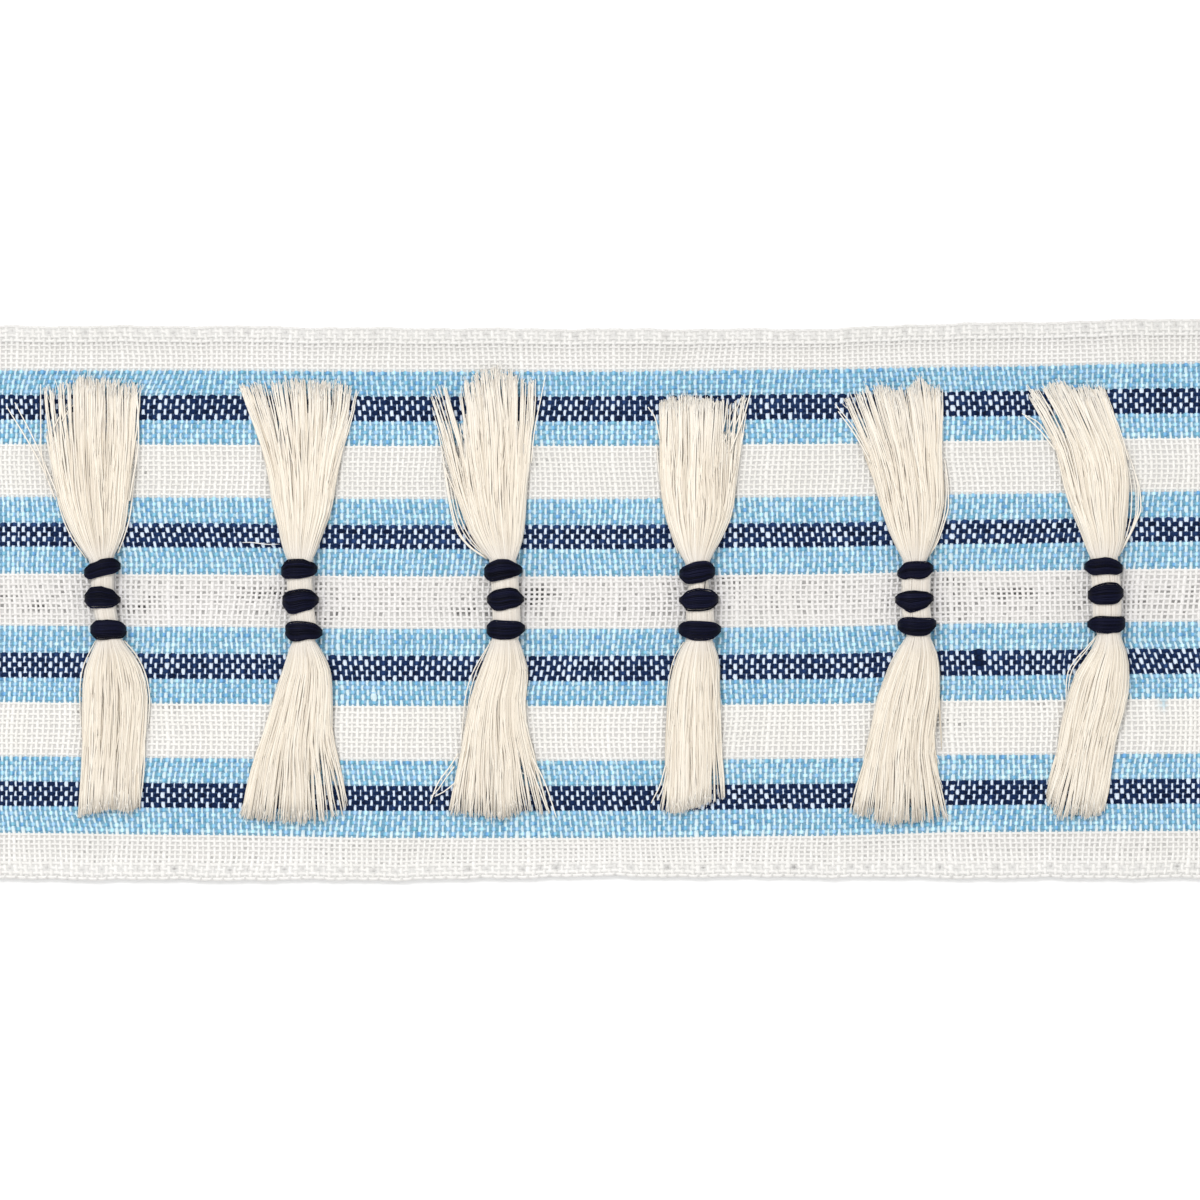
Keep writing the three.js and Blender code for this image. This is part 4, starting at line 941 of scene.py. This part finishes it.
def make_tassel(n):
    r = np.random.default_rng(9100 + 17 * n)
    prof = tassel_profile(n)
    ys = prof[:, 0]
    up_rows, low_rows = UPPER[n], LOWER[n]
    waist_up, waist_low = up_rows[-1][0], low_rows[0][0]
    i = np.arange(STRANDS)
    rank = -1 + 2 * (i + 0.5) / STRANDS
    # heights dealt out so that the upper strands lie evenly over the width
    layer = (i * 0.6180340 + r.uniform()) % 1.0
    layer = np.where(layer < 0.15, layer * 3.0, 0.50 + 0.50 * (layer - 0.15) / 0.85)
    outer = np.abs(rank) > 0.93

    def fanned():
        tuft = 0.004 * np.sin(2 * math.pi * 4.3 * rank + r.uniform(0, 6.28)) + 0.003 * np.sin(2 * math.pi * 7.1 * rank + r.uniform(0, 6.28))
        cross = np.where(r.random(STRANDS) < 0.60, r.normal(0, 0.13, STRANDS), r.normal(0, 0.03, STRANDS))
        loose = np.clip(rank + (tuft + cross) * ~outer, -1.0, 1.0)
        # strands change places, but still fill the width nearly evenly
        even = np.empty(STRANDS)
        even[np.argsort(loose)] = rank
        u = 0.68 * even + 0.32 * loose
        lift = np.clip(layer + 0.14 * (np.abs(cross) > 0.08) + r.normal(0, 0.06, STRANDS), 0.0, 1.0)
        return u, lift

    u_w = np.clip(rank + r.normal(0, 0.012, STRANDS), -1, 1)
    (u_up, v_up), (u_lo, v_lo) = fanned(), fanned()

    def at_tips(row, u):
        return (row[1] + row[2]) / 2 + u * (row[2] - row[1]) / 2

    x_up, x_lo = at_tips(up_rows[0], u_up), at_tips(low_rows[-1], u_lo)
    line_up, line_lo = np.array(TIPS_UP[n]), np.array(TIPS_LOW[n])

    def ragged(x, rough, thin):
        out = rough * (0.55 * np.sin(x * 1.9 + r.uniform(0, 6)) + 0.50 * np.sin(x * 4.3 + r.uniform(0, 6)) + 0.8 * r.normal(size=STRANDS))
        out -= np.where(r.random(STRANDS) < 0.16, 4.0 * rough * r.random(STRANDS), 0.0)
        out -= np.where((r.random(STRANDS) < 0.07) & (layer < 0.8), r.uniform(2.0, 6.0, STRANDS), 0.0)
        for x0, x1, share in thin:
            out -= np.where((x > x0) & (x < x1) & (layer < np.quantile(layer, share)), r.uniform(5.0, 12.0, STRANDS), 0.0)
        return out

    tip_up = np.interp(x_up, line_up[:, 0], line_up[:, 1]) + ragged(x_up, RAGGED[n][0], THIN_UP[n])
    tip_lo = np.interp(x_lo, line_lo[:, 0], line_lo[:, 1]) - ragged(x_lo, RAGGED[n][1], THIN_LOW[n])
    s = np.linspace(0, 1, 12)
    y = np.concatenate([tip_up[:, None] + (waist_up - tip_up)[:, None] * (1 - (1 - s) ** 1.35),
                        np.broadcast_to(waist_up + (waist_low - waist_up) * np.linspace(0, 1, 9)[1:-1], (STRANDS, 7)),
                        waist_low + (tip_lo - waist_low)[:, None] * s ** 1.35], axis=1)
    rings = y.shape[1]
    left, right, deep = (ease_interp(y, ys, prof[:, k]) for k in (1, 2, 3))
    t_up = np.clip((y - waist_up) / (tip_up[:, None] - waist_up), 0, 1)
    t_lo = np.clip((waist_low - y) / (waist_low - tip_lo[:, None]), 0, 1)
    fan = np.maximum(smooth(t_up * 4), smooth(t_lo * 4))
    away = np.maximum(t_up, t_lo)
    u = u_w[:, None] + (u_up - u_w)[:, None] * smooth(t_up * 1.2) + (u_lo - u_w)[:, None] * smooth(t_lo * 1.2)
    rad = (0.180 * (1 + 0.14 * np.clip(r.normal(size=STRANDS), -1.8, 1.8)))[:, None] * (0.86 + 0.14 * fan)
    wob = np.zeros_like(y)
    # neighbours bend together, each with a little bend of its own
    for amp, lam, turns in ((0.13, 36.0, 1.6), (0.07, 19.0, 2.4)):
        phase = r.uniform(0, 6.28) + turns * np.sin(2 * math.pi * r.uniform(0.5, 0.9) * rank + r.uniform(0, 6.28))
        wob += amp * np.sin(2 * math.pi * y / (lam * r.uniform(0.8, 1.2)) + phase[:, None]) * (1 - rank[:, None] ** 2)
    for amp, lam in ((0.13, 24.0), (0.05, 13.0)):
        wob += amp * r.normal(size=(STRANDS, 1)) * np.sin(2 * math.pi * (y / (lam * r.uniform(0.7, 1.4, (STRANDS, 1)))) + r.uniform(0, 6.28, (STRANDS, 1)))
    x = (left + right) / 2 + u * ((right - left) / 2 - 0.20) + wob * smooth(away * 1.5)
    # some strands swing across their neighbours towards the ends
    for t in (t_up, t_lo):
        swing = np.where(r.random(STRANDS) < 0.24, r.normal(0, 0.80, STRANDS), 0.0) * (np.abs(rank) < 0.90)
        x = x + swing[:, None] * smooth((t - 0.35) / 0.65) * (right - left) / 18.0
    for parts, last, t in ((PARTS_UP[n], 0, t_up), (PARTS_LOW[n], -1, t_lo)):
        for gap_x, half, share in parts:
            off = x[:, last] - gap_x
            side = np.sign(off) * np.exp(-np.abs(off) / (1.6 + half))
            x = x + 0.42 * half * side[:, None] * smooth((t - (1 - share)) / share)
    dome = np.sqrt(np.clip(1 - (np.abs(u) * 0.96) ** 2.4, 0.02, 1))
    v = layer[:, None] + (v_up - layer)[:, None] * smooth(t_up * 2.5) + (v_lo - layer)[:, None] * smooth(t_lo * 2.5)
    z0 = CLOTH_TOP + 0.06
    room = np.maximum(deep * dome - 2 * rad, 0.0)
    # the waist's section is round, the fans are flat underneath
    round_lift = (1 - dome) * 0.42 * deep * (1 - fan)
    packed = 1 - (1 - v) * (0.42 + 0.38 * smooth((away - 0.40) / 0.5))
    z = z0 + rad + round_lift + packed * room
    P = np.stack([x, y, z], axis=-1)
    S, N = frames_of(P)
    end = np.maximum(smooth((t_up - 0.92) / 0.08), smooth((t_lo - 0.92) / 0.08))
    taper = (1 - 0.40 * end) * (1 - 0.28 * np.maximum(smooth((t_up - 0.45) / 0.55), smooth((t_lo - 0.45) / 0.55)))
    tip = np.maximum(smooth((t_up - 0.55) / 0.45), 0.4 * smooth((t_lo - 0.55) / 0.45))
    waist = 0.30 * (1 - smooth(away * 9))
    t = Tubes()
    # painted shade on the strands lower in the bundle, deeper towards the tips
    far = np.maximum(smooth((t_up - 0.40) / 0.50), smooth((t_lo - 0.45) / 0.50))[..., None]
    depth = np.clip(v, 0, 1)[..., None]
    shade = smooth((depth - 0.30) / 0.55) * (1 - far) + smooth((depth - 0.60) / 0.28) * far
    shade = np.maximum(shade, (1 - smooth(away * 9))[..., None])
    under = np.array([0.98, 0.96, 0.925]) * (1 - far) + np.array([0.935, 0.91, 0.87]) * far
    tint = under * (1 - shade) + np.array([1.0, 1.0, 1.0]) * shade
    tint = tint * (1 - np.array([0.115, 0.115, 0.095]) * (1 - smooth(away * 6))[..., None])
    t.add(P, S, N, rad * taper, rad * taper, 4, tone=r.uniform(0, 1, STRANDS), tip=np.maximum(0.45 * tip, waist), tint=tint)
    # flat strands at the bottom of the bundle, ending short of the others
    m = 24
    w = -1 + 2 * (np.arange(m) + 0.5) / m
    q = np.linspace(0, 1, 10)
    for waist_y, tips in ((waist_up, line_up), (waist_low, line_lo)):
        row, thin = (up_rows[0], THIN_UP[n]) if waist_y > 0 else (low_rows[-1], THIN_LOW[n])
        x_tip = at_tips(row, w)
        reach = r.uniform(0.70, 0.88, m)
        for x0, x1, _ in thin:
            reach = np.where((x_tip > x0) & (x_tip < x1), r.uniform(0.50, 0.64, m), reach)
        yb = waist_y + ((np.interp(x_tip, tips[:, 0], tips[:, 1]) - waist_y) * reach)[:, None] * q[None, :]
        lb, rb, db = (ease_interp(yb, ys, prof[:, k]) for k in (1, 2, 3))
        half_w = (rb - lb) / 2 - 0.5
        xb = (lb + rb) / 2 + w[:, None] * half_w
        domeb = np.sqrt(np.clip(1 - (np.abs(w) * 0.96) ** 2.4, 0.02, 1))[:, None]
        zb = z0 + 0.12 + 0.56 * np.maximum(db * domeb - 0.36, 0.05)
        B = np.stack([xb, yb, zb], axis=-1)
        SB, NB = frames_of(B)
        t.add(B, SB, NB, 1.25 * half_w / m, 0.09, 4, tone=r.uniform(0.2, 0.8, m), tip=0.2)
    # single fibres springing from the cut ends
    ends = []
    for last, back in ((0, 2), (rings - 1, rings - 3)):
        p1, p0 = P[:, last], P[:, back]
        d = unit(p1 - p0)
        root = p1 - d * r.uniform(1.0, 3.5, (STRANDS, 1))
        off = np.stack([r.normal(0, 0.36, STRANDS), r.normal(0, 0.25, STRANDS), np.abs(r.normal(0, 0.2, STRANDS))], axis=-1)
        far = p1 + d * r.uniform(-0.5, 0.7, (STRANDS, 1)) + off
        mid = (root + far) / 2 + off * 0.12
        q = np.linspace(0, 1, 4)[None, :, None]
        some = r.random(STRANDS) < (0.80 if last == 0 else 0.34)
        ends.append(((1 - q) ** 2 * root[:, None] + 2 * q * (1 - q) * mid[:, None] + q ** 2 * far[:, None])[some])
    F = np.concatenate(ends)
    F[..., 2] = np.maximum(F[..., 2], CLOTH_TOP + 0.10)
    S3, N3 = frames_of(F)
    fr = np.linspace(0.085, 0.05, 4)[None, :] * r.uniform(0.8, 1.2, (len(F), 1))
    t.add(F, S3, N3, fr, fr, 3, tone=r.uniform(0.5, 1, len(F)), tip=0.9)
    # strands that lie apart from the fan
    own = [points for k, points in STRAYS if k == n]
    if own:
        m = 18
        q = np.linspace(0, 1, m)
        W = np.zeros((len(own), m, 3))
        for k, points in enumerate(own):
            W[k, :, :2] = through(points, m)
            start = abs(points[0][1])
            W[k, :, 2] = CLOTH_TOP + 0.20 + (0.55 if start < 9 else 0.95) * (1 - q) ** 1.5
        S4, N4 = frames_of(W)
        wr = 0.135 * (1 - 0.30 * q[None, :] ** 3) * r.uniform(0.85, 1.15, (len(own), 1))
        t.add(W, S4, N4, wr, wr, 5, tone=r.uniform(0.2, 0.7, len(own)), tip=0.25 + 0.40 * q[None, :])
    return t.make("tassel_%d_strands" % n, ECRU_STRAND)


tassels = []
for n in range(1, 7):
    ob = make_tassel(n)
    tassels.append(ob)
    pieces.append((ob, "tassel_yarn"))

# ---------------------------------------------------------------------------
# Satin-stitch bars
# ---------------------------------------------------------------------------

BAR_FOOT = 0.75
BAR_RISE = 3.50
THREADS = 13


def make_bar(n, place, x0, y0, wide, tall, slope):
    r = np.random.default_rng(5000 + 31 * n + {"top": 1, "mid": 2, "low": 3}[place])
    left, right, tops, lows = OUTLINES[(n, place)]
    a, xm = (right - left) / 2 - 0.06, (left + right) / 2
    at = np.array((-1.0,) + OUTLINE_AT + (1.0,))
    tops, lows = np.array(tops), np.array(lows)
    mids, halves = (tops + lows) / 2, (tops - lows) / 2
    mids = np.concatenate([[1.25 * mids[0] - 0.25 * mids[1]], mids, [1.25 * mids[-1] - 0.25 * mids[-2]]])
    halves = np.concatenate([[0.55 * halves[0]], halves, [0.55 * halves[-1]]])
    ph = np.linspace(-math.pi / 2, math.pi / 2, 17)
    e = 2 / 2.5
    f = np.sign(np.sin(ph)) * np.abs(np.sin(ph)) ** e
    zs = np.abs(np.cos(ph)) ** e
    mid = ease_interp(f, at, mids)
    half = np.maximum(ease_interp(f, at, halves) - 0.10, 0.12)
    xs = xm + a * f
    t = Tubes()

    def widthwise(P):
        T = unit(np.gradient(P, axis=1))
        S = np.zeros_like(P)
        S[..., 1] = 1.0
        S = unit(S - T * (S * T).sum(-1, keepdims=True))
        return S, np.cross(T, S)

    # padding under the threads
    P = np.stack([xm + 0.96 * a * f, y0 + mid, BAR_FOOT + (BAR_RISE - 0.30) * zs], axis=-1)[None]
    S, N = widthwise(P)
    t.add(P, S, N, (half * 0.95)[None], 0.26, 10, tone=0.3)
    v = np.linspace(-1, 1, THREADS)
    rise = BAR_RISE * (1 - 0.14 * np.abs(v) ** 2.2) + r.normal(0, 0.035, THREADS)
    yy = y0 + mid[None, :] + (v[:, None] + 0.02 * r.normal(size=(THREADS, 1))) * half[None, :]
    P = np.stack([np.broadcast_to(xs, yy.shape), yy, BAR_FOOT + rise[:, None] * zs[None, :]], axis=-1)
    S, N = widthwise(P)
    thread = half[None, :] / THREADS * 1.08 * np.ones((THREADS, 1)) + 0.02
    t.add(P, S, N, thread, 0.19, 6, tone=r.uniform(0, 1, THREADS))
    if n == 4 and place == "top":
        q = np.linspace(0, 1, 8)
        P = np.stack([19.2 + 0.05 * np.sin(5 * q), 3.9 - 2.2 * q, 3.72 + 0.15 * np.sin(math.pi * q)], axis=-1)[None]
        S, N = frames_of(P)
        t.add(P, S, N, 0.10, 0.10, 6, tone=0.5)
    return t.make("stitch_%d_%s" % (n, place), NAVY_THREAD)


bars = []
for row in BARS:
    ob = make_bar(*row)
    bars.append((ob, "bar_%d_%s" % (row[0], row[1])))
    pieces.append((ob, "stitch_thread"))

# ---------------------------------------------------------------------------
# Frame: what each piece rides on and stands for
# ---------------------------------------------------------------------------

for ob, slot in pieces:
    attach(ob, "root")
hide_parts("tape")
for n, ob in enumerate(tassels, 1):
    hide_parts("tassel_%d" % n)
for ob, target in bars:
    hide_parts(target)

# ---------------------------------------------------------------------------
# Floor, light and camera
# ---------------------------------------------------------------------------

fm, fnt, fb = new_material("pale_floor")
fb.inputs["Base Color"].default_value = (0.95, 0.95, 0.95, 1.0)
fb.inputs["Roughness"].default_value = 0.95
fb.inputs["Specular IOR Level"].default_value = 0.0
floor = mesh_object("floor", np.array([[-3000, -3000, -0.03], [3000, -3000, -0.03], [3000, 3000, -0.03], [-3000, 3000, -0.03]], dtype=float),
                    [np.array([[0, 1, 2, 3]])], fm)

world = bpy.data.worlds.new("studio")
bpy.context.scene.world = world
world.use_nodes = True
bg = next(n for n in world.node_tree.nodes if n.type == "BACKGROUND")
bg.inputs["Color"].default_value = (1.0, 1.0, 1.0, 1.0)
bg.inputs["Strength"].default_value = 0.95


def area_light(name, place, target, size, power):
    data = bpy.data.lights.new(name, "AREA")
    data.shape = "DISK"
    data.size = size
    data.energy = power
    ob = bpy.data.objects.new(name, data)
    ob.location = place
    d = np.array(target, dtype=float) - np.array(place, dtype=float)
    from mathutils import Vector
    ob.rotation_euler = Vector(d).to_track_quat("-Z", "Y").to_euler()
    bpy.context.scene.collection.objects.link(ob)
    return ob


area_light("key", (-0.55, 0.70, 1.20), (0, 0, 0), 0.6, 10.3)

cam_data = bpy.data.cameras.new("camera")
cam_data.sensor_width = 36.0
cam_data.lens = 180.0
cam_data.clip_end = 20.0
cam = bpy.data.objects.new("camera", cam_data)
VIEW_HALF = 600 * 0.18345 * MM
cam.location = (0.0, -0.18345 * MM, 0.95 * MM + VIEW_HALF / (18.0 / 180.0))
cam.rotation_euler = (0.0, 0.0, 0.0)
bpy.context.scene.collection.objects.link(cam)
bpy.context.scene.camera = cam
bpy.context.scene.view_settings.view_transform = "Standard"
